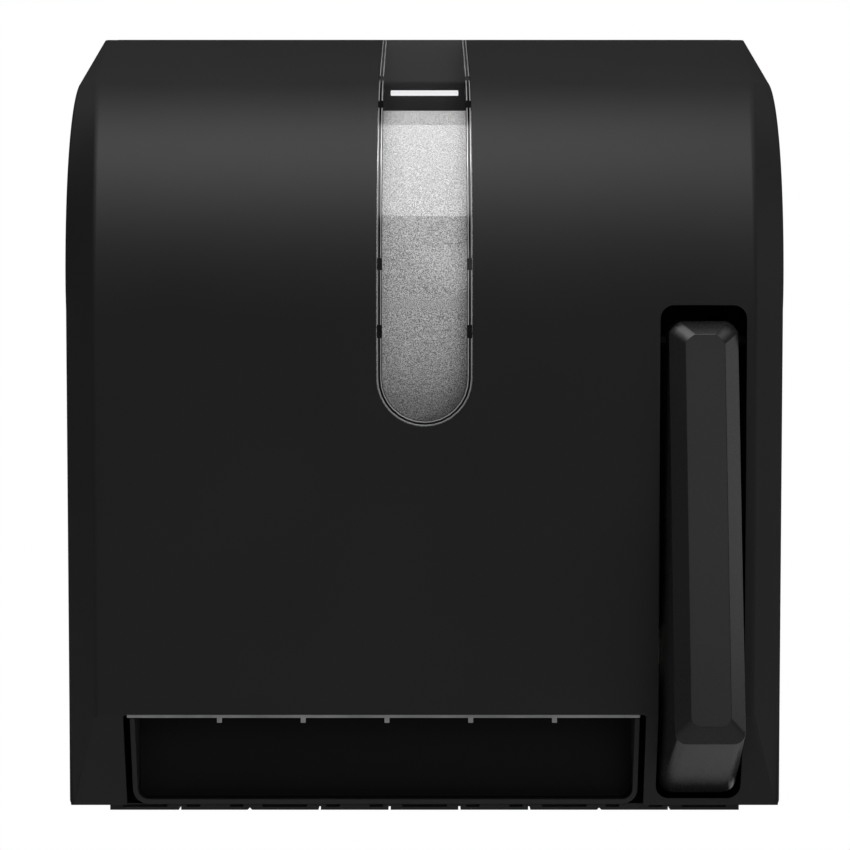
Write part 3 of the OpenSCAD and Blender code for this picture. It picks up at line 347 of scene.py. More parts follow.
def smokeFinish(name, dark, light, shade):
    finish, tree, shader, where = startFinish(name)
    haze = noiseField(tree, where, 9, 2)
    tree.links.new(tinted(tree, haze, dark, light), shader.inputs["Base Color"])
    tree.links.new(spread(tree, noiseField(tree, where, 45, 2), *lensForm["rough"]), shader.inputs["Roughness"])
    shader.inputs["Metallic"].default_value = 1.0
    clear = tree.nodes.new("ShaderNodeBsdfTransparent")
    clear.inputs["Color"].default_value = shade
    facing = tree.nodes.new("ShaderNodeLayerWeight")  # the strip mirrors more where it turns away
    steep = tree.nodes.new("ShaderNodeMath")
    steep.operation = "POWER"
    steep.inputs[1].default_value = lensForm["steepness"]
    gloss = tree.nodes.new("ShaderNodeMath")
    gloss.operation = "MULTIPLY_ADD"
    gloss.inputs[1].default_value = lensForm["edgeMirror"]
    gloss.inputs[2].default_value = lensForm["faceMirror"]
    side = tree.nodes.new("ShaderNodeNewGeometry")  # only the outer face mirrors
    outer = tree.nodes.new("ShaderNodeMath")
    outer.operation = "GREATER_THAN"
    outer.inputs[0].default_value = 0.5
    mirror = tree.nodes.new("ShaderNodeMath")
    mirror.operation = "MULTIPLY"
    blend = tree.nodes.new("ShaderNodeMixShader")
    tree.links.new(facing.outputs["Facing"], steep.inputs[0])
    tree.links.new(steep.outputs["Value"], gloss.inputs[0])
    tree.links.new(side.outputs["Backfacing"], outer.inputs[1])
    tree.links.new(gloss.outputs["Value"], mirror.inputs[0])
    tree.links.new(outer.outputs["Value"], mirror.inputs[1])
    tree.links.new(mirror.outputs["Value"], blend.inputs[0])
    tree.links.new(clear.outputs["BSDF"], blend.inputs[1])
    tree.links.new(shader.outputs["BSDF"], blend.inputs[2])
    exits = [part for part in tree.nodes if part.type == "OUTPUT_MATERIAL"]
    tree.links.new(blend.outputs["Shader"], exits[0].inputs["Surface"])
    return finish


chassisGrain = (0.45, 0.60, 1800, 0.12, 0.08)  # roughness from and to, grain, bump, gloss
finishes = {
    "cover_black": mouldedFinish("coverBlack", (0.0090, 0.0090, 0.0094), (0.0113, 0.0113, 0.0117),
                                 0.53, 0.61, 2600, 0.10, 0.30),
    "lever_black": mouldedFinish("leverBlack", (0.0125, 0.0125, 0.013), (0.015, 0.015, 0.0155),
                                 0.25, 0.31, 2400, 0.06, 0.28),
    "chassis_black": mouldedFinish("chassisBlack", (0.012, 0.012, 0.0125), (0.017, 0.017, 0.0175), *chassisGrain),
    "lens_smoke": smokeFinish("lensSmoke", (0.82, 0.82, 0.83), (0.90, 0.90, 0.91), (0.98, 0.98, 0.982, 1)),
    "tear_bar_steel": metalFinish("tearBarSteel", (0.46, 0.46, 0.47), (0.66, 0.66, 0.67),
                                  0.30, 0.45, (0.06, 1, 1)),
    "screw_steel": metalFinish("screwSteel", (0.50, 0.50, 0.52), (0.62, 0.62, 0.63), 0.25, 0.40, (1, 0.1, 1)),
    "pin_steel": metalFinish("pinSteel", (0.52, 0.52, 0.54), (0.64, 0.64, 0.66), 0.18, 0.32, (0.08, 1, 1)),
    "pin_black": metalFinish("pinBlack", (0.010, 0.010, 0.011), (0.018, 0.018, 0.019), 0.35, 0.5, (0.08, 1, 1)),
    "spring_steel": metalFinish("springSteel", (0.34, 0.34, 0.36), (0.46, 0.46, 0.48), 0.25, 0.40, (1, 1, 1)),
    "lock_metal": metalFinish("lockMetal", (0.48, 0.47, 0.45), (0.60, 0.59, 0.57), 0.22, 0.36, (1, 1, 0.1)),
    "bearing_ivory": mouldedFinish("bearingIvory", (0.62, 0.60, 0.52), (0.72, 0.70, 0.62),
                                   0.38, 0.50, 1200, 0.06, 0.5),
    "gear_ivory": mouldedFinish("gearIvory", (0.66, 0.65, 0.59), (0.75, 0.74, 0.68),
                                0.36, 0.48, 1400, 0.06, 0.5),
    "roller_rubber": mouldedFinish("rollerRubber", (0.03, 0.03, 0.032), (0.055, 0.055, 0.057),
                                   0.70, 0.88, 900, 0.35, 0.3),
    "core_board": boardFinish("coreBoard", (0.30, 0.20, 0.12), (0.48, 0.35, 0.22)),
    "paper_white": paperFinish("paperWhite", (0.22, 0.22, 0.22), (0.90, 0.90, 0.89)),
}
for row in frame["record"]["subparts"]:
    node = frame["nodes"][row["node"]]
    node.data.materials.clear()
    node.data.materials.append(finishes[row["material_slot"]])
print("finishes made:", len(finishes))


# cover
coverForm = {
    "noseR": 0.110, "noseY": -0.103, "noseZ": 0.0440116, "noseSteps": 30,
    "roofSlope": math.radians(14.8), "frontLean": math.radians(4.4), "chinLean": math.radians(27),
    "creaseZ": -0.1385, "lowZ": -0.180, "faceRows": (-0.10, -0.05, 0.0),
    "rearY": -0.0046, "rearHalf": 0.1603, "rearDrop": 0.0006,
    "sideHalf": 0.1592, "faceHalf": 0.1454, "endBand": 0.003,
    "bandDepth": 0.0185, "roofBand": 0.0022, "bandTurn": 82,
    "roofFace": 0.1515, "faceGrow": 2.5, "roofSide": 0.1603, "sideGrow": 0.5,
    "wall": 0.003, "creaseAngle": 7, "edgeRound": 0.0014, "cutRound": 0.0005, "footRound": 0.0022,
    "hemIn": 0.15486, "hemHigh": 0.0016, "hemDrop": 0.001, "hemLap": 0.0005,
    "hemFront": -0.165, "hemBack": -0.0096,
}


def frontY(z, inset=0.0):
    form = coverForm
    lean = form["frontLean"]
    return form["noseY"] - (form["noseR"] - inset + (z - form["noseZ"]) * math.sin(lean)) / math.cos(lean)


def roofZ(y, inset=0.0):
    form = coverForm
    slope = form["roofSlope"]
    return form["noseZ"] + (form["noseR"] - inset + (y - form["noseY"]) * math.sin(slope)) / math.cos(slope)


def chinY(z, inset=0.0):
    form = coverForm
    lean = form["chinLean"]
    return frontY(form["creaseZ"]) + inset / math.cos(lean) - (z - form["creaseZ"]) * math.tan(lean)


def nosePlace(turn, inset=0.0):
    form = coverForm
    reach = form["noseR"] - inset
    return form["noseY"] - reach * math.cos(turn), form["noseZ"] + reach * math.sin(turn)


def bandAt(turn):
    form = coverForm
    share = min(max(math.degrees(turn), 0), form["bandTurn"]) / form["bandTurn"]
    return form["roofBand"] + (form["bandDepth"] - form["roofBand"]) * (1 + math.cos(math.pi * share)) / 2


def noseTurns(steps):
    first = -coverForm["frontLean"]
    last = math.pi / 2 - coverForm["roofSlope"]
    return [first + (last - first) * k / steps for k in range(steps + 1)]


def makeCover():
    form = coverForm
    lowZ, rearY, creaseZ = form["lowZ"], form["rearY"], form["creaseZ"]
    path = [((chinY(lowZ), lowZ), (chinY(lowZ), lowZ), form["sideHalf"] - form["endBand"], form["sideHalf"])]
    for z in (creaseZ, *form["faceRows"]):
        path.append(((frontY(z), z), (frontY(z, form["bandDepth"]), z), form["faceHalf"], form["sideHalf"]))
    turns = noseTurns(form["noseSteps"])
    for turn in turns:  # the side bands turn into the roof
        share = max(turn, 0) / turns[-1]
        path.append((nosePlace(turn), nosePlace(turn, bandAt(turn)),
                     form["faceHalf"] + (form["roofFace"] - form["faceHalf"]) * share ** form["faceGrow"],
                     form["sideHalf"] + (form["roofSide"] - form["sideHalf"]) * share ** form["sideGrow"]))
    top = (rearY, roofZ(rearY))
    path.append((top, top, form["rearHalf"] - form["endBand"], form["rearHalf"]))
    rows = []
    for face, side, faceX, sideX in path:
        half = [(faceX, *face), (sideX, *side), (form["rearHalf"], rearY, side[1])]
        if side == top:
            half[2] = (form["rearHalf"], rearY, side[1] - form["rearDrop"])
        rows.append([(-x, y, z) for x, y, z in reversed(half)] + half)
    cover = layRows("coverShell", rows)
    openEdit(cover, "FACE")
    bpy.ops.mesh.select_all(action="SELECT")
    bpy.ops.mesh.normals_make_consistent(inside=False)
    mesh = bmesh.from_edit_mesh(cover.data)
    front = max(mesh.faces, key=lambda face: -face.calc_center_median().y - abs(face.calc_center_median().x))
    if front.normal.y > 0:
        bpy.ops.mesh.flip_normals()
    bpy.ops.mesh.select_mode(type="EDGE")
    bpy.ops.mesh.select_all(action="DESELECT")
    mesh = bmesh.from_edit_mesh(cover.data)
    for edge in mesh.edges:
        if len(edge.link_faces) == 2:
            edge.select = edge.calc_face_angle() > math.radians(form["creaseAngle"])
    bmesh.update_edit_mesh(cover.data)
    bpy.ops.mesh.bevel(offset=form["edgeRound"], segments=3, affect="EDGES", clamp_overlap=False)
    closeEdit(cover)
    useModifier(cover, "SOLIDIFY", thickness=form["wall"], offset=-1, use_even_offset=True,
                use_quality_normals=True)
    mesh = openEdit(cover, "EDGE")  # lower outer edges of the sides
    for edge in mesh.edges:
        if all(spot.co.z < lowZ + 1e-4 and abs(spot.co.x) > form["sideHalf"] - 4e-4 for spot in edge.verts):
            edge.select_set(True)
    bmesh.update_edit_mesh(cover.data)
    bpy.ops.mesh.bevel(offset=form["footRound"], segments=4, affect="EDGES", clamp_overlap=True)
    closeEdit(cover)
    return cover


windowForm = {"half": 0.0209, "endZ": 0.0109, "gap": 0.0003, "topZ": 0.19, "rim": 0.0023,
              "set": 0.0004, "thick": 0.0022, "steps": 16, "lensIn": 0.0002, "lensRound": 0.0004,
              "stripHalf": 0.03, "stripLow": 0.001, "stripMid": 0.02, "stripEnd": 0.0004,
              "frontY": -0.22, "backY": 0.01, "over": 0.01}


def windowOutline(grow, topZ):
    half = windowForm["half"] + grow
    points = [(half, topZ), (-half, topZ)]
    for k in range(windowForm["steps"] + 1):
        turn = math.pi + math.pi * k / windowForm["steps"]
        points.append((half * math.cos(turn), windowForm["endZ"] + half * math.sin(turn)))
    return points


def windowPrism(name, grow, over=0.0):
    outline = windowOutline(grow, windowForm["topZ"] + over)
    return prismY(name, outline, windowForm["frontY"] - over, windowForm["backY"] + over)


leverSlot = {"x": 0.1224, "half": 0.019, "lowZ": -0.1768, "highZ": 0.043, "radius": 0.006,
             "frontY": -0.25, "backY": -0.15}
exitCut = {"lowX": -0.13345, "highX": 0.09815, "lowZ": -0.20, "topZ": -0.1377, "radius": 0.0016,
           "frontY": -0.25, "backY": -0.16}
lockHole = {"y": -0.042, "z": 0.060, "radius": 0.0091, "outX": -0.17, "inX": -0.15, "sides": 48}
hingeForm = {"y": -0.014, "z": -0.172, "heel": 0.0095, "boss": 0.006, "bore": 0.0021, "ease": 0.0004,
             "inX": 0.1512, "outX": 0.1576, "sides": 40, "clearX": 0.17, "clearY": 0.01, "clearZ": -0.19}

cover = makeCover()
cutWith(cover, windowPrism("windowCut", windowForm["gap"]))
slotBox = roundedBox(leverSlot["x"] - leverSlot["half"], leverSlot["lowZ"], leverSlot["x"] + leverSlot["half"],
                     leverSlot["highZ"], leverSlot["radius"])
cutWith(cover, prismY("leverCut", slotBox, leverSlot["frontY"], leverSlot["backY"]))
exitBox = roundedBox(exitCut["lowX"], exitCut["lowZ"], exitCut["highX"], exitCut["topZ"], exitCut["radius"])
cutWith(cover, prismY("exitCutter", exitBox, exitCut["frontY"], exitCut["backY"]))
heelArc = [(hingeForm["y"] + hingeForm["heel"] * math.cos(math.radians(turn)),
            hingeForm["z"] - hingeForm["heel"] * math.sin(math.radians(turn))) for turn in range(0, 91, 6)]
heelBox = [(hingeForm["clearY"], hingeForm["z"]), *heelArc, (hingeForm["y"], hingeForm["clearZ"]),
           (hingeForm["clearY"], hingeForm["clearZ"])]
cutWith(cover, prismX("heelCut", heelBox, -hingeForm["clearX"], hingeForm["clearX"]))
lockBar = [(lockHole["outX"], lockHole["radius"]), (lockHole["inX"], lockHole["radius"])]
cutWith(cover, turnedX("lockCut", lockBar, lockHole["y"], lockHole["z"], lockHole["sides"]))
roundEdges(cover, coverForm["cutRound"])
for side in (-1, 1):  # hem along the inner lower edge of each side wall
    hemOut = coverForm["sideHalf"] - coverForm["wall"] + coverForm["hemLap"]
    near, far = sorted((side * coverForm["hemIn"], side * hemOut))
    low, high = coverForm["lowZ"] - coverForm["hemDrop"], coverForm["lowZ"] + coverForm["hemHigh"]
    hemBox = [(near, low), (far, low), (far, high), (near, high)]
    cutWith(cover, prismY("hem", hemBox, coverForm["hemFront"], coverForm["hemBack"]), "UNION")
smoothFaces(cover)
settle(cover, "cover", "cover_black", finishes["cover_black"], "cover_shell")
for side in (-1, 1):
    inX, outX = side * hingeForm["inX"], side * hingeForm["outX"]
    easedX, easedR = side * (hingeForm["inX"] + hingeForm["ease"]), hingeForm["boss"] - hingeForm["ease"]
    profile = [(inX, hingeForm["bore"]), (inX, easedR), (easedX, hingeForm["boss"]), (outX, hingeForm["boss"]),
               (outX, hingeForm["bore"])]
    boss = turnedX("hingeBoss" + ("Left" if side < 0 else "Right"), profile,
                   hingeForm["y"], hingeForm["z"], hingeForm["sides"], True)
    smoothFaces(boss)
    settle(boss, "cover", "cover_black", finishes["cover_black"])
print("cover made:", len(cover.data.polygons), "faces")


# window strip and its rim
rimForm = {"proud": 0.0002, "thick": 0.0016, "bedDrop": 0.0002, "bedThick": 0.0010, "round": 0.0002,
           "beads": (("outerBead", 0.0, 0.24), ("innerBead", 0.62, 0.88)),
           "notches": ((0.0584, 0.0636), (0.0286, 0.0343), (0.1340, 0.1378), (0.1500, 0.1530)),
           "notchIn": 0.0170, "notchOut": 0.0300, "notchFront": -0.23, "notchBack": -0.09, "glint": 2.0}


def windowStrip(name, inset, thick):
    form = coverForm
    lowZ = windowForm["endZ"] - windowForm["half"] - windowForm["stripLow"]
    midZ, endY = windowForm["stripMid"], form["rearY"] - windowForm["stripEnd"]
    path = [(frontY(lowZ, inset), lowZ), (frontY(midZ, inset), midZ)]
    path += [nosePlace(turn, inset) for turn in noseTurns(form["noseSteps"])]
    path.append((endY, roofZ(endY, inset)))
    half = windowForm["stripHalf"]
    strip = layRows(name, [[(x, y, z) for x in (-half, half)] for y, z in path])
    openEdit(strip, "FACE")
    bpy.ops.mesh.select_all(action="SELECT")
    mesh = bmesh.from_edit_mesh(strip.data)
    mesh.faces.ensure_lookup_table()
    if mesh.faces[0].normal.y > 0:
        bpy.ops.mesh.flip_normals()
    closeEdit(strip)
    useModifier(strip, "SOLIDIFY", thickness=thick, offset=-1, use_even_offset=True)
    return strip


lens = windowStrip("windowLens", windowForm["set"], windowForm["thick"])
cutWith(lens, windowPrism("lensTrim", -windowForm["lensIn"]), "INTERSECT")
roundEdges(lens, windowForm["lensRound"])
smoothFaces(lens)
settle(lens, "cover", "lens_smoke", finishes["lens_smoke"], "window_lens")

# painted shade: the rim bed is near black, standing in for the shaded inside seen through the clear rim
rimGloss = mouldedFinish("rimGloss", (0.004, 0.004, 0.0045), (0.006, 0.006, 0.0065), 0.10, 0.16, 900, 0.02, 0.3)
# painted highlight: the beads' pale grey stands in for light caught along the clear rim edges; the higher IOR
# below adds real glints
beadGloss = mouldedFinish("beadGloss", (0.24, 0.24, 0.243), (0.36, 0.36, 0.363), 0.10, 0.18, 900, 0.02, 0.8)
beadGloss.node_tree.nodes["Principled BSDF"].inputs["IOR"].default_value = rimForm["glint"]  # glints on the nose


def rimStrip(name, outer, inner, inset, thick):
    strip = windowStrip(name, inset, thick)
    cutWith(strip, windowPrism(name + "Trim", -outer), "INTERSECT")
    cutWith(strip, windowPrism(name + "Open", -inner, windowForm["over"]))
    return strip


rimBed = rimStrip("windowRim", 0.0, windowForm["rim"], rimForm["bedDrop"], rimForm["bedThick"])
smoothFaces(rimBed)
settle(rimBed, "cover", "cover_black", rimGloss)
for name, outer, inner in rimForm["beads"]:
    bead = rimStrip(name, outer * windowForm["rim"], inner * windowForm["rim"],
                    -rimForm["proud"], rimForm["thick"])
    for lowZ, highZ in rimForm["notches"]:
        for side in (-1, 1):
            near, far = sorted((side * rimForm["notchIn"], side * rimForm["notchOut"]))
            notchBox = [(far, highZ), (near, highZ), (near, lowZ), (far, lowZ)]
            cutWith(bead, prismY("rimNotch", notchBox, rimForm["notchFront"], rimForm["notchBack"]))
    roundEdges(bead, rimForm["round"])
    smoothFaces(bead)
    settle(bead, "cover", "cover_black", beadGloss)
print("window made")


# push lever
leverForm = {"x": 0.1224, "facetHalf": 0.00865, "rimHalf": 0.0152, "facetTop": (-0.219, 0.030),
             "facetLow": (-0.2505, -0.1384), "rimTop": (-0.2106, 0.036), "rimLow": (-0.2457, -0.1462),
             "backTop": (-0.1917, 0.037), "backLow": (-0.1759, -0.1746), "draftTop": 0.0008, "draftLow": 0.0024,
             "facetRound": 0.0042, "rimRound": 0.0050, "footRound": 0.0068, "cornerFlat": 0.65,
             "wall": 0.0026, "steps": 5, "edge": 0.00035, "edgeAngle": 12, "crisp": 14}


def leverRing(half, top, low, topRound, lowRound, draftTop=0.0, draftLow=0.0, flat=0.0):
    length = math.dist(top, low)
    way = ((low[0] - top[0]) / length, (low[1] - top[1]) / length)
    points = []
    lowDown = length - lowRound
    for side, down, start, radius in ((1, topRound, 0, topRound), (-1, topRound, 90, topRound),
                                      (-1, lowDown, 180, lowRound), (1, lowDown, 270, lowRound)):
        for k in range(leverForm["steps"] + 1):
            share = k / leverForm["steps"]
            turn = math.radians(start + 90 * share)
            bend = Vector((math.cos(turn), math.sin(turn)))
            if down == topRound:  # the upper corners are flatter than an arc
                first, last = math.radians(start), math.radians(start + 90)
                chord = Vector((math.cos(first), math.sin(first))).lerp((math.cos(last), math.sin(last)), share)
                bend = bend.lerp(chord, flat)
            along = down - radius * bend.y
            wide = half + draftTop + (draftLow - draftTop) * along / length
            across = side * (wide - radius) + radius * bend.x
            points.append((leverForm["x"] + across, top[0] + way[0] * along, top[1] + way[1] * along))
    return points


def makeLever():
    form = leverForm
    flat, facetR, rimR = form["cornerFlat"], form["facetRound"], form["rimRound"]
    rings = [leverRing(form["facetHalf"], form["facetTop"], form["facetLow"], facetR, facetR, flat=flat),
             leverRing(form["rimHalf"], form["rimTop"], form["rimLow"], rimR, rimR, flat=flat),
             leverRing(form["rimHalf"], form["backTop"], form["backLow"], rimR, form["footRound"],
                       form["draftTop"], form["draftLow"])]
    lever = loftRings("leverShell", rings, True)
    openEdit(lever, "FACE")
    bpy.ops.mesh.select_all(action="SELECT")
    mesh = bmesh.from_edit_mesh(lever.data)
    facet = max(mesh.faces, key=lambda face: len(face.verts))
    if facet.normal.y > 0:
        bpy.ops.mesh.flip_normals()
    closeEdit(lever)
    useModifier(lever, "SOLIDIFY", thickness=form["wall"], offset=-1, use_even_offset=True,
                use_quality_normals=True)
    return lever


lever = makeLever()
roundEdges(lever, leverForm["edge"], leverForm["edgeAngle"])
smoothFaces(lever, leverForm["crisp"])
settle(lever, "lever", "lever_black", finishes["lever_black"], "lever_shell")
print("lever made:", len(lever.data.polygons), "faces")


# paper roll on its core
rollForm = {"left": -0.1196, "right": 0.0834, "radius": 0.094, "core": 0.021, "bore": 0.0195,
            "y": -0.106, "z": 0.0440116, "soft": 0.0012, "softShare": 0.3, "coreGap": 0.00005,
            "sides": 160, "coreSides": 96}


def makeRoll():
    form = rollForm
    left, right, radius, soft = form["left"], form["right"], form["radius"], form["soft"]
    inner, ease = form["core"] + form["coreGap"], soft * form["softShare"]
    profile = [(left, inner), (left, radius - soft), (left + ease, radius - ease), (left + soft, radius),
               (right - soft, radius), (right - ease, radius - ease), (right, radius - soft), (right, inner)]
    roll = turnedX("paperRoll", profile, form["y"], form["z"], form["sides"], True)
    smoothFaces(roll, 40)
    profile = [(left, form["bore"]), (left, form["core"]), (right, form["core"]), (right, form["bore"])]
    core = turnedX("rollCore", profile, form["y"], form["z"], form["coreSides"], True)
    smoothFaces(core, 40)
    return roll, core


roll, core = makeRoll()
settle(roll, "roll", "paper_white", finishes["paper_white"], "paper_roll")
settle(core, "roll", "core_board", finishes["core_board"], "roll_core")
print("roll made")


# springs, each one wire
springForm = {"sides": 12, "perTurn": 20,
              "lever": {"at": (0.1124, -0.198132, 0.0285), "coil": 0.0042, "turns": 3, "pitch": 0.0015,
                        "wire": 0.0005, "lowLeg": 0.014, "highLeg": 0.022},
              "arm": {"at": (0.0904, -0.014, 0.0404116), "coil": 0.0049, "turns": 4, "pitch": 0.0018,
                      "wire": 0.0005, "restX": -0.0005, "leg": 0.030, "legEnd": 0.004, "legBend": 0.008,
                      "wallLeg": 0.0086},
              "pinch": {"y": -0.183548, "z": -0.11255, "coil": 0.0026, "turns": 3, "pitch": 0.0016,
                        "wire": 0.0004, "x": (-0.1301, 0.0924)}}


def coilPoints(turns, radius, pitch, start):
    count = turns * springForm["perTurn"]
    return [(radius * math.cos(start + 2 * math.pi * k / springForm["perTurn"]),
             radius * math.sin(start + 2 * math.pi * k / springForm["perTurn"]), pitch * turns * k / count)
            for k in range(count + 1)]


def bendWire(name, points, radius):
    clearPick()
    bpy.ops.curve.primitive_bezier_curve_add()
    wire = bpy.context.object
    wire.name = name
    wire.data.splines.clear()
    line = wire.data.splines.new("POLY")
    line.points.add(len(points) - 1)
    for spot, place in zip(line.points, points):
        spot.co = (*place, 1)
    wire.data.dimensions = "3D"
    wire.data.bevel_depth = radius
    wire.data.bevel_resolution = springForm["sides"] // 4 + 1
    wire.data.use_fill_caps = True
    bpy.ops.object.convert(target="MESH")
    wire = bpy.context.object
    wire.data.name = name
    mergeClose(wire)
    smoothFaces(wire, 50)
    return wire


def makeSprings():
    form = springForm["lever"]
    low, reach = -form["coil"], form["turns"] * form["pitch"]
    path = [(-form["lowLeg"], low, 0)] + coilPoints(form["turns"], form["coil"], form["pitch"], -math.pi / 2)
    path.append((form["highLeg"], low, reach))
    x, y, z = form["at"]
    lever = bendWire("leverSpring", [(x + c, y + a, z + b) for a, b, c in path], form["wire"])
    form = springForm["arm"]
    path = [(form["restX"], -form["leg"], 0), (form["restX"], form["legEnd"] - form["leg"], 0),
            (form["coil"], -form["legBend"], 0)]
    path += coilPoints(form["turns"], form["coil"], form["pitch"], 0)
    path.append((form["coil"], form["wallLeg"], form["turns"] * form["pitch"]))
    x, y, z = form["at"]
    arm = bendWire("armSpring", [(x + a, y + b, z + c) for a, b, c in path], form["wire"])
    form = springForm["pinch"]
    path = coilPoints(form["turns"], form["coil"], form["pitch"], 0)
    leftX = form["x"][0]
    places = [(leftX + a, form["y"] - c, form["z"] + b) for a, b, c in path]
    first = bendWire("pinchSpringLeft", places, form["wire"])
    makeActive(first)
    bpy.ops.object.duplicate()
    second = bpy.context.object
    second.name = second.data.name = "pinchSpringRight"
    for vertex in second.data.vertices:
        vertex.co.x += form["x"][1] - leftX
    return lever, arm, first, second


leverSpring, armSpring, pinchLeft, pinchRight = makeSprings()
settle(leverSpring, "chassis", "spring_steel", finishes["spring_steel"], "lever_spring")
armSpring.data.materials.clear()
armSpring.data.materials.append(finishes["spring_steel"])
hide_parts("arm_spring")
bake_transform(armSpring)
settle(pinchLeft, "chassis", "spring_steel", finishes["spring_steel"], "pinch_springs")
settle(pinchRight, "chassis", "spring_steel", finishes["spring_steel"])
print("springs wound")


# edges of the moulded and stamped pieces eased
easedNodes = {"back_plate": 0.0005, "left_frame": 0.0004, "right_frame": 0.0004, "gear_frame": 0.0004,
              "chute": 0.0004, "base_tray": 0.00008, "tear_bar": 0.00015, "left_roll_arm": 0.0005,
              "right_roll_arm": 0.0005, "paper_guide": 0.0003}
easeForm = {"merge": 2e-6, "flatAngle": 1.5, "edgeAngle": 40, "smoothAngle": 35}


def easeNode(node, width):
    source = frame["nodes"][node]
    makeActive(source)
    bpy.ops.object.duplicate()
    piece = bpy.context.object
    del piece["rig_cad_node"]
    words = node.split("_")
    piece.name = piece.data.name = words[0] + "".join(word.capitalize() for word in words[1:]) + "Eased"
    openEdit(piece)
    bpy.ops.mesh.select_all(action="SELECT")
    bpy.ops.mesh.remove_doubles(threshold=easeForm["merge"])
    bpy.ops.mesh.dissolve_limited(angle_limit=math.radians(easeForm["flatAngle"]))
    closeEdit(piece)
    useModifier(piece, "BEVEL", width=width, segments=2, limit_method="ANGLE",
                angle_limit=math.radians(easeForm["edgeAngle"]), use_clamp_overlap=False)
    smoothFaces(piece, easeForm["smoothAngle"])
    return piece


ownFinish = {  # pieces that differ in shade from the frames
    "back_plate": mouldedFinish("plateGrey", (0.043, 0.043, 0.044), (0.053, 0.053, 0.054), *chassisGrain),
    "base_tray": mouldedFinish("trayGrey", (0.026, 0.026, 0.0265), (0.031, 0.031, 0.0315), *chassisGrain),
    # the chute's colour is painted shade, darkening from the lip down the throat
    "chute": shadedScoopFinish("chuteGrey", (0.028, 0.028, 0.0285), (0.007, 0.007, 0.0072), -0.1725, -0.1665,
                         *chassisGrain),
}
for row in frame["record"]["subparts"]:
    node, slot = row["node"], row["material_slot"]
    if node in easedNodes:
        settle(easeNode(node, easedNodes[node]), frame["nodes"][node]["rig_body"], slot,
               ownFinish.get(node, finishes[slot]), node)
print("edges eased:", len(easedNodes))


# light, floor and camera
stageForm = {"floorZ": -0.42, "floorSize": 3.0, "floorDark": 0.52, "floorLight": 0.56, "floorRough": 0.9,
             "floorGlow": 0.62, "mirrorGlow": 0.02, "worldLight": 0.16, "sweepTop": 0.06, "ceilingLow": 0.22,
             "ceilingLight": 0.12, "roomSide": 0.82, "sweepSide": 0.99, "roomLight": 0.12}
clearPick()
bpy.ops.mesh.primitive_plane_add(size=stageForm["floorSize"], location=(0, 0, 0))
floor = bpy.context.object
floor.name = "paleFloor"
for vertex in floor.data.vertices:
    vertex.co.z = stageForm["floorZ"]
floorFinish, floorTree, floorShader, floorWhere = startFinish("paleFloorFinish")
floorShade = tinted(floorTree, noiseField(floorTree, floorWhere, 3, 2),
                    [stageForm["floorDark"]] * 3, [stageForm["floorLight"]] * 3)
floorTree.links.new(floorShade, floorShader.inputs["Base Color"])
floorShader.inputs["Roughness"].default_value = stageForm["floorRough"]
floorGlow = floorTree.nodes.new("ShaderNodeEmission")  # the floor is seen pale, and still takes the shadow
floorRays = floorTree.nodes.new("ShaderNodeLightPath")
floorSeen = [floorTree.nodes.new("ShaderNodeMath") for step in range(3)]
for step, operation in zip(floorSeen, ("MAXIMUM", "MULTIPLY", "MULTIPLY_ADD")):
    step.operation = operation
floorTree.links.new(floorRays.outputs["Is Glossy Ray"], floorSeen[0].inputs[0])
floorTree.links.new(floorRays.outputs["Is Transmission Ray"], floorSeen[0].inputs[1])
floorTree.links.new(floorSeen[0].outputs["Value"], floorSeen[1].inputs[0])
floorSeen[1].inputs[1].default_value = stageForm["mirrorGlow"]
floorTree.links.new(floorRays.outputs["Is Camera Ray"], floorSeen[2].inputs[0])
floorSeen[2].inputs[1].default_value = stageForm["floorGlow"]
floorTree.links.new(floorSeen[1].outputs["Value"], floorSeen[2].inputs[2])
floorBlend = floorTree.nodes.new("ShaderNodeMixShader")
floorTree.links.new(floorSeen[2].outputs["Value"], floorBlend.inputs[0])
floorTree.links.new(floorShader.outputs["BSDF"], floorBlend.inputs[1])
floorTree.links.new(floorGlow.outputs["Emission"], floorBlend.inputs[2])
floorTree.links.new(floorBlend.outputs["Shader"], floorTree.nodes["Material Output"].inputs["Surface"])
floor.data.materials.append(floorFinish)

scene = bpy.context.scene
scene.view_settings.view_transform = "Standard"
world = bpy.data.worlds.new("studioAir")
scene.world = world
world.use_nodes = True
air = world.node_tree
backdrop = air.nodes["Background"]
backdrop.inputs["Color"].default_value = (1, 1, 1, 1)
rays = air.nodes.new("ShaderNodeLightPath")
skyWay = air.nodes.new("ShaderNodeTexCoord")
skyParts = air.nodes.new("ShaderNodeSeparateXYZ")
air.links.new(skyWay.outputs["Generated"], skyParts.inputs["Vector"])
dome = air.nodes.new("ShaderNodeMapRange")  # white sweep at the horizon, dimmer studio ceiling above
dome.interpolation_type = "SMOOTHSTEP"
dome.inputs["From Min"].default_value = stageForm["sweepTop"]
dome.inputs["From Max"].default_value = stageForm["ceilingLow"]
dome.inputs["To Min"].default_value = 1.0
dome.inputs["To Max"].default_value = stageForm["ceilingLight"]
air.links.new(skyParts.outputs["Z"], dome.inputs["Value"])
sweep = air.nodes.new("ShaderNodeMapRange")  # the sweep stands behind the wall plate, the room in front is dim
sweep.interpolation_type = "SMOOTHSTEP"
sweep.inputs["From Min"].default_value = stageForm["roomSide"]
sweep.inputs["From Max"].default_value = stageForm["sweepSide"]
sweep.inputs["To Min"].default_value = stageForm["roomLight"]
sweep.inputs["To Max"].default_value = 1.0
air.links.new(skyParts.outputs["Y"], sweep.inputs["Value"])


def airMath(operation, first, second):
    step = air.nodes.new("ShaderNodeMath")
    step.operation = operation
    for socket, value in zip(step.inputs, (first, second)):
        if isinstance(value, float):
            socket.default_value = value
        else:
            air.links.new(value, socket)
    return step.outputs["Value"]


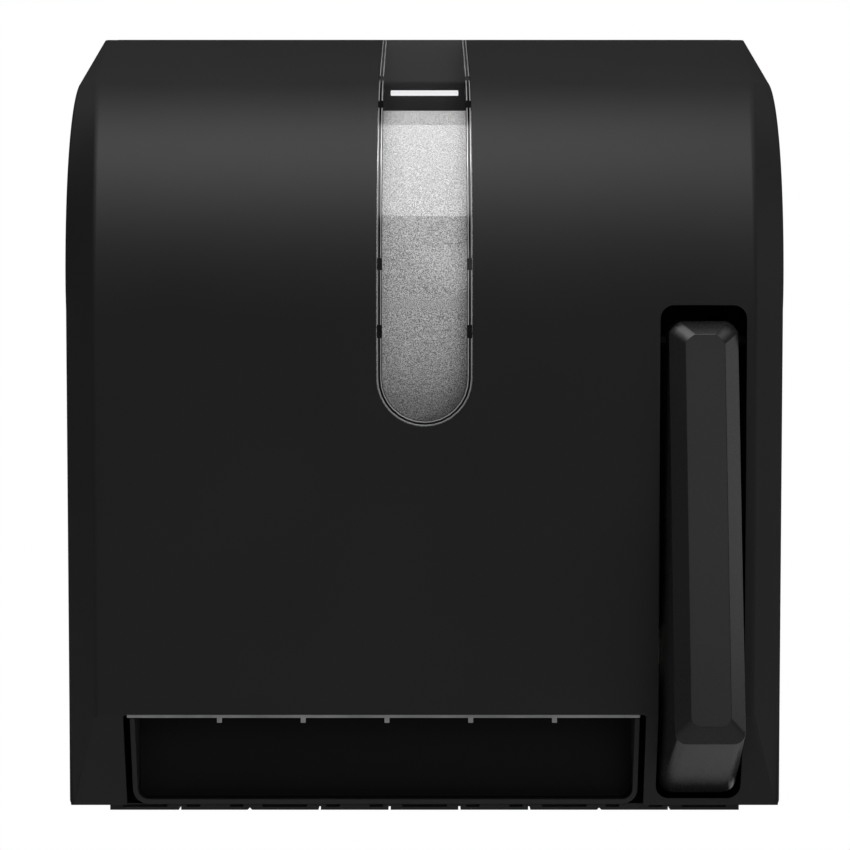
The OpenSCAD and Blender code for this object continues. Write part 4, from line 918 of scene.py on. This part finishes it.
mirrored = airMath("MAXIMUM", rays.outputs["Is Glossy Ray"], rays.outputs["Is Transmission Ray"])
evenPart = airMath("MULTIPLY", airMath("SUBTRACT", 1.0, mirrored), stageForm["worldLight"])
mirrorPart = airMath("MULTIPLY", mirrored, airMath("MULTIPLY", dome.outputs["Result"], sweep.outputs["Result"]))
level = airMath("ADD", mirrorPart, evenPart)
air.links.new(airMath("MAXIMUM", level, rays.outputs["Is Camera Ray"]), backdrop.inputs["Strength"])


# lamps that aren't mirrored are even fill, kept out of the roof's and the window's reflections
lampForm = {
    "overheadBox": {"place": (0, -0.75, 1.45), "aim": (0, -0.75, 0), "size": (0.95, 1.66), "power": 19.8},
    "keyBox": {"place": (0.45, -2.6, 0.90), "aim": (0.1, -0.2, 0), "size": (0.9, 0.9), "power": 3.0},
    "rightBox": {"place": (1.6, -0.05, 0.32), "aim": (0.1, -0.2, 0), "size": (0.45, 0.7), "power": 1.55},
    "cornerBoxLeft": {"place": (-0.64, -0.34, 1.42), "aim": (0.1, -0.2, 0), "size": (0.34, 0.34), "power": 3.4},
    "cornerBoxRight": {"place": (1.08, -0.19, 1.30), "aim": (0.1, -0.2, 0), "size": (0.34, 0.34), "power": 1.1},
    "frontBox": {"place": (0.7, -2.8, 0.30), "aim": (0, -0.15, 0),
                 "size": (1.6, 1.2), "power": 15, "mirrored": False},
    "backBoxLeft": {"place": (-1.3, 1.7, 0.0), "aim": (0, -0.1, 0),
                    "size": (1.2, 0.6), "power": 9, "mirrored": False},
    "backBoxRight": {"place": (1.3, 1.7, 0.0), "aim": (0, -0.1, 0),
                     "size": (1.2, 0.6), "power": 9, "mirrored": False},
}


def addLamp(name, place, aim, size, power, mirrored=True):
    clearPick()
    bpy.ops.object.light_add(type="AREA", location=place)
    lamp = bpy.context.object
    lamp.name = name
    lamp.data.shape = "RECTANGLE"
    lamp.data.size, lamp.data.size_y = size
    lamp.data.energy = power
    lamp.rotation_euler = (Vector(aim) - Vector(place)).to_track_quat("-Z", "Y").to_euler()
    lamp.visible_glossy = mirrored


for name, form in lampForm.items():
    addLamp(name, **form)

cameraForm = {"place": (0, -1.638, -0.0095), "lens": 137.8, "sensor": 36, "shiftX": 0.0006}
clearPick()
bpy.ops.object.camera_add(location=cameraForm["place"], rotation=(math.pi / 2, 0, 0))
camera = bpy.context.object
camera.data.lens = cameraForm["lens"]
camera.data.sensor_width = cameraForm["sensor"]
camera.data.shift_x = cameraForm["shiftX"]
scene.camera = camera
print("stage set")

clearPick()
